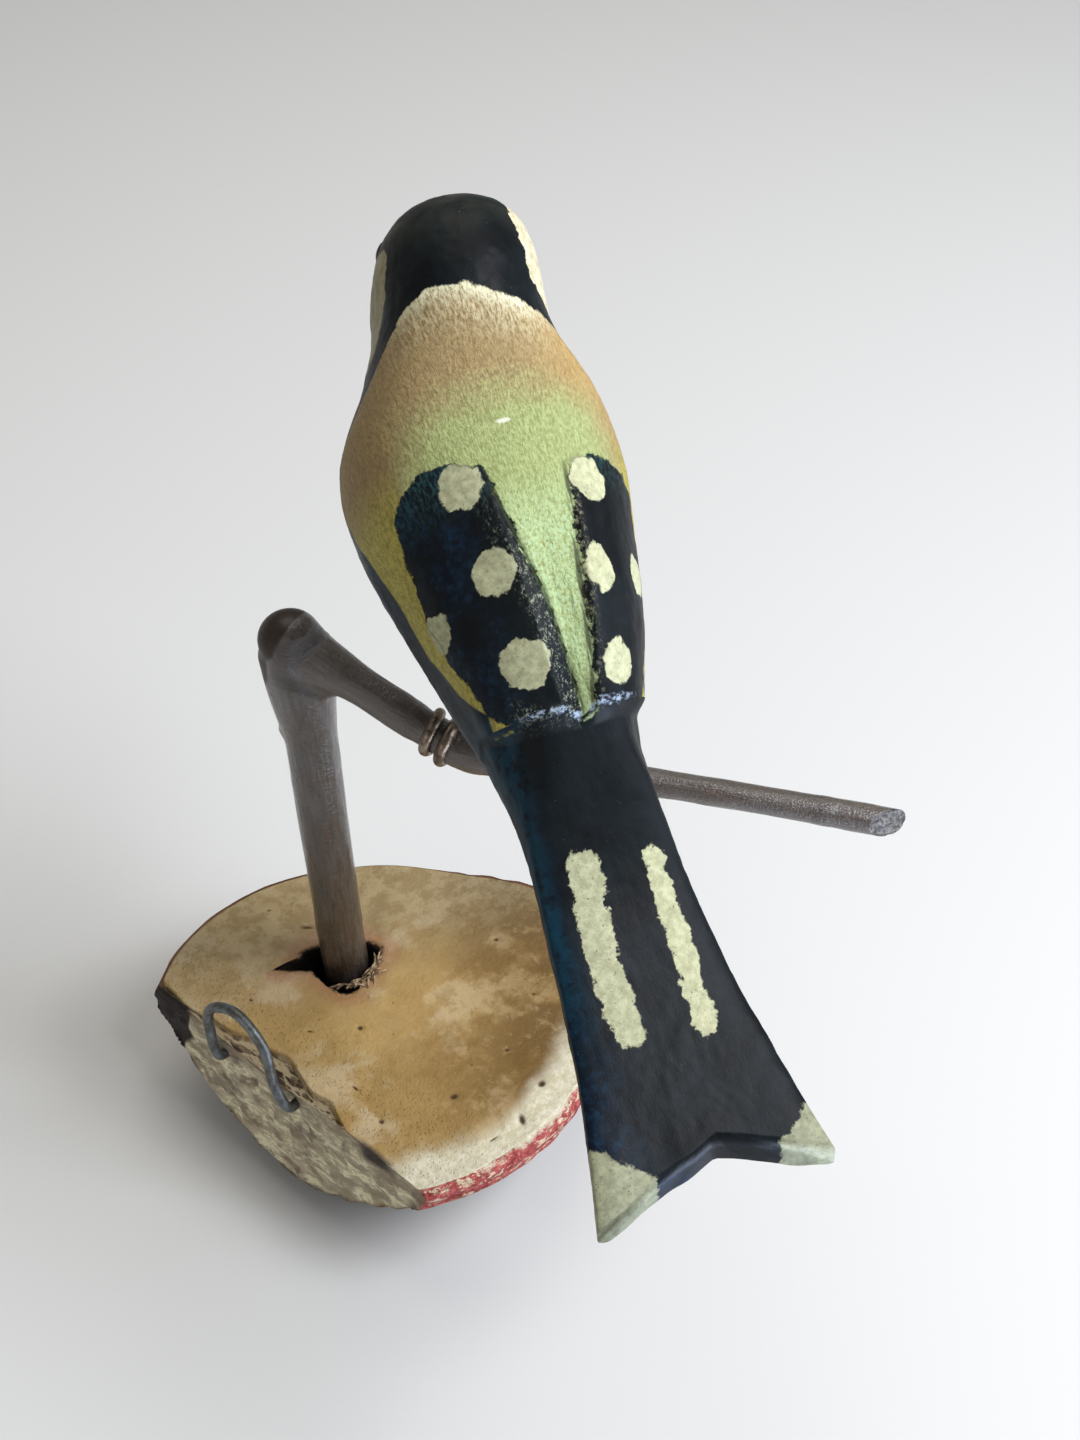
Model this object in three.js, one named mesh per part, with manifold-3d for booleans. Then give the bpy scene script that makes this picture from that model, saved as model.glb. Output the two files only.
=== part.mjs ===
// A carved and painted songbird on a twig, set in a sawn bracket fungus.
// Millimetres, +Z up. The bird faces +Y. The origin is the middle of the flat
// resting spot on the underside of the fungus.
import * as THREE from 'three';
import { mergeVertices } from 'three/addons/utils/BufferGeometryUtils.js';
import Module from 'manifold-3d';

const wasm = await Module();
wasm.setup();

// Main sizes
const birdLength = 115;           // beak tip to tail tip, along the ground
const fungusWidth = 70;
const baseHeight = 24;            // resting spot to the pore surface
const stemHeight = 70.7;          // pore surface to the middle of the knuckle
const crookReach = 26;            // level distance from the knuckle to the perch's bend
const crookDrop = 8.2;
const perchReach = 62.3;          // level distance from the bend to the free end
const perchDrop = 4.7;

// Sizes that can be set one by one
const clearance = 0.3;            // gap between pieces that touch
const bandHeight = 5.5;           // red rim band
const bandBulge = 0.7;            // how far the band stands out
const rimRound = 1;               // rounding from the band to the pore surface
const rimWave = 0.5;              // gentle wave of the pore surface at the rim
const sawTilt = 10;               // degrees, the sawn back face leans outwards below
const stemFootDiameter = 8.6;
const stemTopDiameter = 7.2;
const stemSocketDepth = 10;
const stemStraight = 8;           // the stem leaves its socket straight
const stemLean = 1;               // the knuckle stands this far left of the foot
const stemBow = 1.1;              // the stem bows to the right
const stubDiameter = 8.6;
const perchDiameter = 5.9;        // where the feet grip
const perchEndDiameter = 4.2;
const perchSag = 0.6;
const stubLength = 3.6;           // the cut-off limb stands this far past the knuckle
const bendEase = 7;               // the bend of the perch is eased over this length
const barkBite = 0.6;             // the leg wires are wound this deep into the bark
const loopWire = 1.7;
const loopLeft = 16.2;            // left leg, from the left end of the sawn edge
const loopSpan = 15.4;            // between the two legs of the hanging loop
const loopFootDrop = 2.6;         // the legs enter this far below the sawn edge
const loopRise = 10.6;            // top of the bow above the sawn edge
const loopStandoff = 1.7;         // wire centre in front of the sawn face
const loopEmbed = 5;              // how deep each leg is driven in
const legWire = 1.5;
const legSpread = 5;              // each leg to the side of the bird's middle
const legForward = 2;
const legSocketDepth = 5;
const footTurns = 2;              // windings round the perch
const footPitch = 2.3;            // from one winding to the next
const notchDepth = 5.5;           // V cut in the end of the tail
const grooveDepth = 2.2;          // V groove between the wings, at its rear end
const grooveHalfWidthFront = 4.8;
const grooveHalfWidthRear = 1.3;
const ledgeHeight = 1.7;          // wing tips stand over the tail root

// Places and turns. Turns are in degrees from +X, seen from above
const fungusCentre = new THREE.Vector2(1, 1);
const fungusLean = new THREE.Vector2(2.5, 3);     // the resting spot lies off the rim's middle
const sawLeftTurn = 153.0;        // ends of the sawn edge on the rim
const sawRightTurn = 255.6;
const stemAside = -7.5;           // stem foot from the middle of the rim
const stemForward = 14.9;
const crookTurn = -48.8;
const perchTurn = -29.2;
const birdAside = 5.5;            // the bird's own origin, from the bend of the perch
const birdBack = 3.8;
const birdRise = 1.3;
const birdRoll = 2;               // right side down

// Radius of the fungus every 30 degrees from +X, as shares of its width; the
// stretch from 180 to 240 is the part that was sawn away
const rimShares = [
  0.491, 0.489, 0.446, 0.483, 0.563, 0.606, 0.586, 0.556, 0.490, 0.451, 0.437, 0.446,
];

// Stations of the bird from beak to tail, in its own frame: forward and up of
// the top line, forward and up of the bottom line, half width and the carver's
// small sideways lean, all as shares of the length, and the section's squareness
const birdStations = [
  { top: [0.378, 0.495], bottom: [0.377, 0.488], half: 0.004, square: 2.0, lean: 0.012 },
  { top: [0.349, 0.510], bottom: [0.343, 0.472], half: 0.017, square: 2.0, lean: 0.013 },
  { top: [0.315, 0.523], bottom: [0.308, 0.453], half: 0.030, square: 2.0, lean: 0.014 },
  { top: [0.304, 0.548], bottom: [0.298, 0.422], half: 0.057, square: 2.1, lean: 0.015 },
  { top: [0.273, 0.583], bottom: [0.297, 0.389], half: 0.078, square: 2.2, lean: 0.015 },
  { top: [0.216, 0.607], bottom: [0.286, 0.352], half: 0.092, square: 2.2, lean: 0.014 },
  { top: [0.156, 0.596], bottom: [0.274, 0.307], half: 0.096, square: 2.2, lean: 0.008 },
  { top: [0.102, 0.561], bottom: [0.255, 0.258], half: 0.110, square: 2.1, lean: -0.003 },
  { top: [0.042, 0.512], bottom: [0.208, 0.215], half: 0.146, square: 2.1, lean: -0.006 },
  { top: [-0.027, 0.463], bottom: [0.133, 0.166], half: 0.149, square: 2.1, lean: -0.004 },
  { top: [-0.095, 0.413], bottom: [0.041, 0.130], half: 0.129, square: 2.1, lean: -0.003 },
  { top: [-0.161, 0.357], bottom: [-0.062, 0.109], half: 0.106, square: 2.2, lean: -0.003 },
  { top: [-0.210, 0.305], bottom: [-0.161, 0.103], half: 0.084, square: 2.3, lean: -0.006 },
  { top: [-0.246, 0.250], bottom: [-0.239, 0.098], half: 0.075, square: 2.5, lean: -0.005 },
  { top: [-0.290, 0.180], bottom: [-0.300, 0.088], half: 0.077, square: 2.8, lean: -0.001 },
  { top: [-0.345, 0.121], bottom: [-0.357, 0.058], half: 0.083, square: 3.4, lean: 0.003 },
  { top: [-0.427, 0.065], bottom: [-0.437, 0.019], half: 0.093, square: 4.2, lean: 0.007 },
  { top: [-0.514, 0.022], bottom: [-0.522, -0.019], half: 0.108, square: 5.2, lean: 0.010 },
  { top: [-0.612, -0.023], bottom: [-0.616, -0.060], half: 0.130, square: 6.5, lean: 0.011 },
];
const grooveStart = 9.0;          // station where the groove between the wings opens
const ledgeStation = 12.5;        // station of the wing tips on the top line
const ledgeRun = 0.23;            // stations over which the wing tips drop
const ledgeSweep = 0.75;          // the tips lie further forward down the flanks
const wingEdgeInner = 65;         // degrees from the top line, where the wing
const wingEdgeOuter = 90;         // starts to thin out and where it ends
const bellyShare = 0.13;          // height of the belly over the legs, of the length
const notchStations = 1.5;        // the tail rises towards its notch over this length
const notchAside = 0.1;           // the notch sits a little to the right, in half widths
const notchForward = 0.9;         // direction of the notch along the tail
const notchUp = 0.42;

const material = (colour, roughness, metalness = 0) =>
  new THREE.MeshStandardMaterial({ color: colour, roughness, metalness });
const paintedBird = material(0x2a2e30, 0.45);
const barkedTwig = material(0x4a423b, 0.4);
const fungusFlesh = material(0xa5865a, 0.8);
const steelWire = material(0x6a7076, 0.35, 1);

const degrees = (angle) => THREE.MathUtils.degToRad(angle);
const smooth = (x, low, high) => THREE.MathUtils.smoothstep(x, low, high);

/** Position-only copy of a geometry with shared vertices. */
function welded(geometry) {
  const plain = geometry.clone();
  plain.deleteAttribute('normal');
  plain.deleteAttribute('uv');
  return mergeVertices(plain, 1e-4);
}

function toSolid(geometry) {
  const shape = welded(geometry);
  return new wasm.Manifold(new wasm.Mesh({
    numProp: 3,
    vertProperties: new Float32Array(shape.attributes.position.array),
    triVerts: new Uint32Array(shape.index.array),
  }));
}

function toGeometry(solid) {
  const { vertProperties, triVerts } = solid.getMesh();
  const geometry = new THREE.BufferGeometry();
  geometry.setAttribute('position', new THREE.BufferAttribute(vertProperties, 3));
  geometry.setIndex(new THREE.BufferAttribute(triVerts, 1));
  const flat = geometry.toNonIndexed();
  flat.computeVertexNormals();
  return flat;
}

/** Closed skin over rings of equal count; the end rings close on a middle point. */
function loft(rings) {
  const count = rings[0].length;
  const points = rings.flat();
  const index = [];
  for (let i = 0; i < rings.length - 1; i += 1) {
    for (let j = 0; j < count; j += 1) {
      const a = i * count + j;
      const b = i * count + ((j + 1) % count);
      index.push(a, b, b + count, a, b + count, a + count);
    }
  }
  const last = (rings.length - 1) * count;
  const middle = (ring) => ring
    .reduce((sum, p) => sum.add(p), new THREE.Vector3())
    .divideScalar(count);
  points.push(middle(rings[0]), middle(rings[rings.length - 1]));
  for (let j = 0; j < count; j += 1) {
    const k = (j + 1) % count;
    index.push(points.length - 2, k, j);
    index.push(points.length - 1, last + j, last + k);
  }
  const geometry = new THREE.BufferGeometry().setFromPoints(points);
  geometry.setIndex(index);
  return geometry;
}

/** Round wire of one diameter along a curve. */
function wire(curve, diameter, steps, sides) {
  const section = new THREE.Shape();
  for (let k = 0; k < sides; k += 1) {
    const angle = (2 * Math.PI * k) / sides;
    const x = (diameter / 2) * Math.cos(angle);
    const y = (diameter / 2) * Math.sin(angle);
    if (k === 0) section.moveTo(x, y);
    else section.lineTo(x, y);
  }
  section.closePath();
  return new THREE.ExtrudeGeometry(section, { steps, bevelEnabled: false, extrudePath: curve });
}

/** Tapering round limb along a curve; radiusAt takes 0 to 1 along it. */
function limb(curve, radiusAt, steps, sides) {
  const frames = curve.computeFrenetFrames(steps, false);
  const rings = [];
  for (let i = 0; i <= steps; i += 1) {
    const centre = curve.getPointAt(i / steps);
    const ring = [];
    for (let k = 0; k < sides; k += 1) {
      const angle = (2 * Math.PI * k) / sides;
      const radius = radiusAt(i / steps);
      ring.push(centre.clone()
        .addScaledVector(frames.normals[i], radius * Math.cos(angle))
        .addScaledVector(frames.binormals[i], radius * Math.sin(angle)));
    }
    rings.push(ring);
  }
  return loft(rings);
}

function mesh(name, geometry, finish) {
  const piece = new THREE.Mesh(geometry, finish);
  piece.name = name;
  return piece;
}

// The fungus lies with its pore side up. Its rings grow from the flat resting
// spot through the rounded cap to the rim band, then close over the top.
function rimRadius(angle) {
  const count = rimShares.length;
  const turn = ((angle / (2 * Math.PI)) * count + count) % count;
  const i = Math.floor(turn);
  const at = (k) => rimShares[(i + k + count) % count];
  const x = turn - i;
  return (fungusWidth / 2) * (2 * at(0) + (at(1) - at(-1)) * x
    + (2 * at(-1) - 5 * at(0) + 4 * at(1) - at(2)) * x * x
    + (3 * at(0) - at(-1) - 3 * at(1) + at(2)) * x * x * x);
}

const bandBottom = baseHeight - bandHeight;
const fungusRings = [
  // share of the rim radius, height, bulge
  [0.57, 0, 0], [0.63, bandBottom * 0.06, 0], [0.70, bandBottom * 0.19, 0],
  [0.77, bandBottom * 0.37, 0], [0.84, bandBottom * 0.58, 0], [0.90, bandBottom * 0.76, 0],
  [0.96, bandBottom * 0.93, 0], [1.0, bandBottom + bandHeight * 0.2, bandBulge * 0.5],
  [1.0, bandBottom + bandHeight * 0.55, bandBulge], [1.0, baseHeight - rimRound, bandBulge * 0.5],
  [0.985, baseHeight - rimRound * 0.2, 0], [0.95, baseHeight, 0], [0.7, baseHeight - rimRound * 0.2, 0],
  [0.4, baseHeight, 0],
];
const topRing = fungusRings.length - 4;

function fungusBody() {
  const count = 60;
  const rings = fungusRings.map(([share, height, bulge], i) => {
    const ring = [];
    for (let k = 0; k < count; k += 1) {
      const angle = (2 * Math.PI * k) / count;
      const radius = rimRadius(angle) * share + bulge;
      const low = Math.max(0, 1 - height / bandBottom);
      const wave = i >= topRing ? rimWave * share * share * Math.sin(5 * angle + 1) : 0;
      ring.push(new THREE.Vector3(
        fungusCentre.x + fungusLean.x * low + radius * Math.cos(angle),
        fungusCentre.y + fungusLean.y * low + radius * Math.sin(angle),
        height + wave,
      ));
    }
    return ring;
  });
  return toSolid(loft(rings));
}

// Axes of the sawn face: along its top edge, out of it, and up it
function onRim(turn) {
  const radius = rimRadius(degrees(turn));
  return new THREE.Vector2(Math.cos(degrees(turn)), Math.sin(degrees(turn)))
    .multiplyScalar(radius).add(fungusCentre);
}

const sawLeft = onRim(sawLeftTurn);
const sawRight = onRim(sawRightTurn);
const sawAlong = new THREE.Vector3(sawRight.x - sawLeft.x, sawRight.y - sawLeft.y, 0).normalize();
const sawLevelOut = new THREE.Vector3(sawAlong.y, -sawAlong.x, 0);
const sawOut = sawLevelOut.clone().multiplyScalar(Math.cos(degrees(sawTilt)));
sawOut.z = Math.sin(degrees(sawTilt));
const sawUp = new THREE.Vector3().crossVectors(sawOut, sawAlong).normalize();
const sawEdgeMiddle = new THREE.Vector3(
  (sawLeft.x + sawRight.x) / 2, (sawLeft.y + sawRight.y) / 2, baseHeight,
);

/** Point on the sawn face, by distance from its left end, height and distance out. */
function onSawnFace(along, up, out) {
  return new THREE.Vector3(sawLeft.x, sawLeft.y, baseHeight)
    .addScaledVector(sawAlong, along)
    .addScaledVector(sawUp, up)
    .addScaledVector(sawOut, out);
}

function sawCut() {
  const size = 2 * fungusWidth;
  const block = new THREE.BoxGeometry(size, size, size);
  const turn = new THREE.Matrix4().makeBasis(sawAlong, sawUp, sawAlong.clone().cross(sawUp));
  const outwards = Math.sign(sawAlong.clone().cross(sawUp).dot(sawOut));
  block.translate(0, 0, (outwards * size) / 2);
  block.applyMatrix4(turn);
  block.translate(sawEdgeMiddle.x, sawEdgeMiddle.y, sawEdgeMiddle.z);
  return toSolid(block);
}

// The hanging loop: a wire bow whose legs are driven into the sawn face
const loopCurve = new THREE.CatmullRomCurve3([
  onSawnFace(loopLeft, -loopFootDrop, -loopEmbed),
  onSawnFace(loopLeft, -loopFootDrop, -loopEmbed / 2),
  onSawnFace(loopLeft, -loopFootDrop, loopStandoff / 2),
  onSawnFace(loopLeft - loopSpan * 0.06, loopRise * 0.06, loopStandoff),
  onSawnFace(loopLeft - loopSpan * 0.12, loopRise * 0.6, loopStandoff),
  onSawnFace(loopLeft + loopSpan * 0.06, loopRise * 0.9, loopStandoff),
  onSawnFace(loopLeft + loopSpan * 0.34, loopRise, loopStandoff),
  onSawnFace(loopLeft + loopSpan * 0.68, loopRise * 0.7, loopStandoff),
  onSawnFace(loopLeft + loopSpan * 0.84, loopRise * 0.12, loopStandoff),
  onSawnFace(loopLeft + loopSpan, -loopFootDrop, loopStandoff / 2),
  onSawnFace(loopLeft + loopSpan, -loopFootDrop, -loopEmbed / 2),
  onSawnFace(loopLeft + loopSpan, -loopFootDrop, -loopEmbed),
], false, 'centripetal');

function loopHole(along) {
  const depth = loopEmbed + clearance;
  const start = onSawnFace(along, -loopFootDrop, -depth);
  const end = onSawnFace(along, -loopFootDrop, depth);
  return toSolid(wire(new THREE.LineCurve3(start, end), loopWire + 4 * clearance, 1, 10));
}

// The twig: the stem and the limb that forks from it at the knuckle
const swing = (reach, turn, rise) => new THREE.Vector3(
  reach * Math.cos(degrees(turn)), reach * Math.sin(degrees(turn)), rise,
);
const stemFoot = new THREE.Vector3(
  fungusCentre.x + stemAside, fungusCentre.y + stemForward, baseHeight,
);
const knuckle = stemFoot.clone().add(new THREE.Vector3(-stemLean, stemLean / 2, stemHeight));
const perchBend = knuckle.clone().add(swing(crookReach, crookTurn, -crookDrop));
const perchEnd = perchBend.clone().add(swing(perchReach, perchTurn, -perchDrop));
const stemCurve = new THREE.CatmullRomCurve3([
  stemFoot.clone().add(new THREE.Vector3(0, 0, -stemSocketDepth)),
  stemFoot,
  stemFoot.clone().add(new THREE.Vector3(0, 0, stemStraight)),
  stemFoot.clone().lerp(knuckle, 0.42).add(new THREE.Vector3(stemBow, 0, 0)),
  stemFoot.clone().lerp(knuckle, 0.8).add(new THREE.Vector3(stemBow * 0.8, 0, 0)),
  knuckle,
]);
const perchStart = perchBend.clone().sub(knuckle).normalize();
const perchRun = perchEnd.clone().sub(perchBend).normalize();
const perchCurve = new THREE.CatmullRomCurve3([
  knuckle.clone().addScaledVector(perchStart, -stubLength),
  knuckle,
  knuckle.clone().lerp(perchBend, 0.45),
  perchBend.clone().addScaledVector(perchStart, -bendEase),
  perchBend.clone().addScaledVector(perchRun, bendEase * 0.6).add(new THREE.Vector3(0, 0, -perchSag)),
  perchBend.clone().lerp(perchEnd, 0.35),
  perchBend.clone().lerp(perchEnd, 0.68).add(new THREE.Vector3(0, 0, perchSag / 2)),
  perchEnd,
], false, 'centripetal');
const footShare = 0.355;          // along the perch curve to the middle between the feet
const footReach = 0.055;          // each foot before and after that
const gripShare = 0.18;           // the limb has its grip thickness from here on
const thinShare = 0.7;            // and its end thickness from here on

function stemRadius(share) {
  return THREE.MathUtils.lerp(stemFootDiameter, stemTopDiameter, share) / 2;
}

function perchRadius(share) {
  const grip = THREE.MathUtils.lerp(stubDiameter, perchDiameter, smooth(share, 0, gripShare));
  const whole = THREE.MathUtils.lerp(grip, perchEndDiameter, smooth(share, footShare, thinShare));
  const off = Math.abs(Math.abs(share - footShare) - footReach);
  return whole / 2 - barkBite * (1 - smooth(off, footReach * 0.62, footReach * 0.85));
}

function twig() {
  const stem = toSolid(limb(stemCurve, stemRadius, 14, 16));
  const perch = toSolid(limb(perchCurve, perchRadius, 56, 14));
  return stem.add(perch);
}

// The bird, as sections between its top line and its bottom line
const spline = (points) => new THREE.CatmullRomCurve3(points, false, 'catmullrom', 0.5);
const ofLength = (...shares) => shares.map((share) => share * birdLength);
const topLine = spline(birdStations.map((s) => new THREE.Vector3(0, ...ofLength(...s.top))));
const bottomLine = spline(birdStations.map((s) => new THREE.Vector3(0, ...ofLength(...s.bottom))));
const breadthLine = spline(birdStations.map((s) => {
  const [half, lean] = ofLength(s.half, s.lean);
  return new THREE.Vector3(half, s.square, lean);
}));
const lastStation = birdStations.length - 1;

/** Depth of the groove between the wings, by station and sideways distance. */
function groove(station, sideways) {
  const along = THREE.MathUtils.clamp((station - grooveStart) / (ledgeStation - grooveStart), 0, 1);
  const half = THREE.MathUtils.lerp(grooveHalfWidthFront, grooveHalfWidthRear, along);
  const past = 1 - smooth(station, ledgeStation, ledgeStation + 0.15);
  const depth = grooveDepth * along * past;
  return depth * Math.max(0, 1 - Math.abs(sideways) / (half + 0.5)) ** 0.7;
}

/** How far forward of the top line's ledge the wing tips end at this angle. */
function sweep(angle) {
  return ledgeSweep * (1 - Math.max(0, Math.cos(angle)));
}

/** Point of the bird's skin; angle 0 is the top line, positive to its right. */
function birdSkin(station, turn) {
  const angle = Math.abs(turn) > Math.PI ? turn - Math.sign(turn) * 2 * Math.PI : turn;
  const share = station / lastStation;
  const top = topLine.getPoint(share);
  const bottom = bottomLine.getPoint(share);
  const breadth = breadthLine.getPoint(share);
  const reach = (Math.abs(Math.cos(angle)) ** breadth.y + Math.abs(Math.sin(angle)) ** breadth.y)
    ** (-1 / breadth.y);
  const rise = reach * Math.cos(angle);
  const side = reach * Math.sin(angle);
  const middle = top.clone().add(bottom).multiplyScalar(0.5);
  const half = top.clone().sub(bottom).multiplyScalar(0.5);
  const point = middle.addScaledVector(half, rise);
  point.x = breadth.x * side + breadth.z;
  const outwards = half.clone().normalize().multiplyScalar(rise);
  outwards.x = side;
  outwards.normalize();
  const wing = 1 - smooth(Math.abs(angle), degrees(wingEdgeInner), degrees(wingEdgeOuter));
  const past = station + sweep(angle) - ledgeStation;
  const lifted = wing * smooth(past, grooveStart - 1 - ledgeStation, -0.5)
    * (1 - smooth(past, 0, ledgeRun));
  const sunk = wing * smooth(past, 0, ledgeRun) * (1 - smooth(past, 0.4, 1.6));
  point.addScaledVector(outwards, (ledgeHeight / 2) * (lifted - sunk));
  if (Math.abs(angle) < Math.PI / 2) {
    point.addScaledVector(outwards, -groove(station, breadth.x * side));
  }
  const tailShare = (station - lastStation + notchStations) / notchStations;
  if (tailShare > 0) {
    const pull = notchDepth * (1 - Math.min(1, Math.abs(side - notchAside))) * tailShare;
    point.y += pull * notchForward;
    point.z += pull * notchUp;
  }
  return point;
}

function birdBody() {
  const count = 44;
  const rows = [];
  for (let s = 0; s < lastStation; s += 0.5) {
    if (Math.abs(s - ledgeStation) > 0.6) rows.push(s);
  }
  for (const offset of [-0.5, -0.2, 0, 0.12, 0.24, 0.45]) rows.push(ledgeStation + offset);
  rows.push(lastStation);
  rows.sort((a, b) => a - b);
  const rings = rows.map((row) => {
    const ring = [];
    const near = 1 - smooth(Math.abs(row - ledgeStation), 0.5, 3);
    for (let k = 0; k < count; k += 1) {
      const angle = (-2 * Math.PI * k) / count;
      ring.push(birdSkin(row - near * sweep(angle), angle));
    }
    return ring;
  });
  // The end of the tail is a narrow strip, closed straight from its upper to
  // its lower edge, so that the V notch stays
  const index = Array.from(loft(rings).index.array).slice(0, (rings.length - 1) * count * 6);
  const beakMiddle = rings.length * count;
  for (let j = 0; j < count; j += 1) index.push(beakMiddle, (j + 1) % count, j);
  const edge = (rings.length - 1) * count;
  const quarter = count / 4;
  for (let j = -quarter; j < quarter; j += 1) {
    const upper = [edge + ((j + count) % count), edge + ((j + 1 + count) % count)];
    const lower = [edge + ((count / 2 - j) % count), edge + ((count / 2 - j - 1 + count) % count)];
    if (j > -quarter) index.push(upper[0], upper[1], lower[0]);
    if (j < quarter - 1) index.push(upper[1], lower[1], lower[0]);
  }
  const points = rings.flat().concat(beakTip(rings[0]));
  const geometry = new THREE.BufferGeometry().setFromPoints(points);
  geometry.setIndex(index);
  return geometry;
}

function beakTip(ring) {
  return ring.reduce((sum, p) => sum.add(p), new THREE.Vector3()).divideScalar(ring.length);
}

const birdPlace = perchBend.clone().add(new THREE.Vector3(birdAside, -birdBack, birdRise));
const bellyHeight = birdLength * bellyShare;
const birdFrame = new THREE.Matrix4()
  .makeTranslation(birdPlace)
  .multiply(new THREE.Matrix4().makeRotationY(degrees(birdRoll)));

// Each leg is one wire: out of its socket in the belly, down to the perch and
// round it in close windings
function legTop(side, height) {
  return new THREE.Vector3(side * legSpread, legForward, height).applyMatrix4(birdFrame);
}

function legCurve(side) {
  const share = footShare + side * footReach;
  const grip = perchCurve.getPointAt(share);
  const along = perchCurve.getTangentAt(share);
  const level = new THREE.Vector3(-along.y, along.x, 0).normalize();
  const over = new THREE.Vector3().crossVectors(along, level);
  const radius = perchRadius(share) + legWire / 2 + clearance;
  const points = [
    legTop(side, bellyHeight + legSocketDepth),
    legTop(side, bellyHeight + legSocketDepth / 2),
    legTop(side, bellyHeight),
  ];
  const steps = 12;
  for (let k = 0; k <= footTurns * steps; k += 1) {
    const angle = (2 * Math.PI * k) / steps;
    const shift = -footPitch * (k / steps - footTurns / 2);
    points.push(grip.clone()
      .addScaledVector(along, shift)
      .addScaledVector(level, radius * Math.cos(angle))
      .addScaledVector(over, -radius * Math.sin(angle)));
  }
  return new THREE.CatmullRomCurve3(points, false, 'centripetal');
}

function legSocket(side) {
  const start = legTop(side, bellyHeight + legSocketDepth + clearance);
  const end = legTop(side, bellyHeight - legSocketDepth);
  return toSolid(wire(new THREE.LineCurve3(start, end), legWire + 4 * clearance, 1, 12));
}

// Putting it together
const birdSolid = toSolid(birdBody().applyMatrix4(birdFrame))
  .subtract(legSocket(-1))
  .subtract(legSocket(1));

const socketCurve = new THREE.LineCurve3(
  stemFoot.clone().add(new THREE.Vector3(0, 0, -stemSocketDepth - clearance)),
  stemFoot.clone().add(new THREE.Vector3(0, 0, clearance * 10)),
);
const stemSocket = toSolid(wire(socketCurve, stemFootDiameter + 4 * clearance, 1, 24));
const baseSolid = fungusBody()
  .subtract(sawCut())
  .subtract(stemSocket)
  .subtract(loopHole(loopLeft))
  .subtract(loopHole(loopLeft + loopSpan));

const part = new THREE.Group();
part.add(
  mesh('base', toGeometry(baseSolid), fungusFlesh),
  mesh('branch', toGeometry(twig()), barkedTwig),
  mesh('bird', toGeometry(birdSolid), paintedBird),
  mesh('leg_wire_left', toGeometry(toSolid(wire(legCurve(-1), legWire, 60, 7))), steelWire),
  mesh('leg_wire_right', toGeometry(toSolid(wire(legCurve(1), legWire, 60, 7))), steelWire),
  mesh('hanging_loop', toGeometry(toSolid(wire(loopCurve, loopWire, 40, 8))), steelWire),
);

export default part;
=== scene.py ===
# %% [markdown]
# A carved and painted songbird on a varnished twig, set in a sawn bracket
# fungus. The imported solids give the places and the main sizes. This script
# adds the fine carving, the bark, the pores of the fungus and the paint.
# Shapes are worked out in millimetres and turned to metres when a mesh is made.

# %% Frame
import math

import bpy
import mathutils
import numpy as np
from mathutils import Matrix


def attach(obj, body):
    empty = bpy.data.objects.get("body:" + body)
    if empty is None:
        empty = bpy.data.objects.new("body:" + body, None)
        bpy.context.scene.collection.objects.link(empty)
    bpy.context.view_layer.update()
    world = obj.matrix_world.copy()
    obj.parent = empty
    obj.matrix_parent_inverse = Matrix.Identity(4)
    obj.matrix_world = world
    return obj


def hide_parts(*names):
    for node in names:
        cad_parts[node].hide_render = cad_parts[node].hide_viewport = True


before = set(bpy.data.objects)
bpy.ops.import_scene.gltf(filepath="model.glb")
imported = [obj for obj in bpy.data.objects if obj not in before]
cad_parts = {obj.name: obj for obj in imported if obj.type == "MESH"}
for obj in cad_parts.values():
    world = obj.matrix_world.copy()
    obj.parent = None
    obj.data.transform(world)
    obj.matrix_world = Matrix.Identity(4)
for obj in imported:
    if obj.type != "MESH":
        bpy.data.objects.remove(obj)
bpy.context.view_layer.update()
print("solids:", sorted(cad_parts))

# %% [markdown]
# The camera looks down on the bird's back from behind its left shoulder, close
# by, as the photograph does.

# %% Camera
VIEW_TARGET = np.array([23.0, 0.8, 84.0])
VIEW_DISTANCE = 270.0
VIEW_AZIMUTH = -20.0
VIEW_ELEVATION = 45.0
LENS = 47.5                       # millimetres on a sensor 36 high


def direction(azimuth, elevation):
    """Unit vector towards a place at this azimuth and elevation, in degrees.

    Azimuth 0 is the side behind the bird, and 90 its right side."""
    a, e = math.radians(azimuth), math.radians(elevation)
    return np.array([math.sin(a) * math.cos(e), -math.cos(a) * math.cos(e), math.sin(e)])


def look_at(item, place, target):
    """Put a camera or lamp at place, in millimetres, facing the target."""
    item.location = mathutils.Vector(place / 1000)
    away = mathutils.Vector((place - target) / 1000)
    item.rotation_euler = away.to_track_quat("Z", "Y").to_euler()


lens = bpy.data.cameras.new("camera")
lens.lens = LENS
lens.sensor_fit = "VERTICAL"
lens.sensor_height = 36.0
lens.clip_start = 0.01
camera = bpy.data.objects.new("camera", lens)
bpy.context.scene.collection.objects.link(camera)
look_at(camera, VIEW_TARGET + VIEW_DISTANCE * direction(VIEW_AZIMUTH, VIEW_ELEVATION), VIEW_TARGET)
bpy.context.scene.camera = camera
print("camera at", [round(c, 3) for c in camera.location])

# %% [markdown]
# Small tools: smooth steps, curves, seeded relief and meshes from grids.

# %% Numbers and curves


def smooth(x, low, high):
    """Smooth step from 0 at low to 1 at high."""
    x = np.clip((x - low) / (high - low), 0, 1)
    return x * x * (3 - 2 * x)


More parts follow.
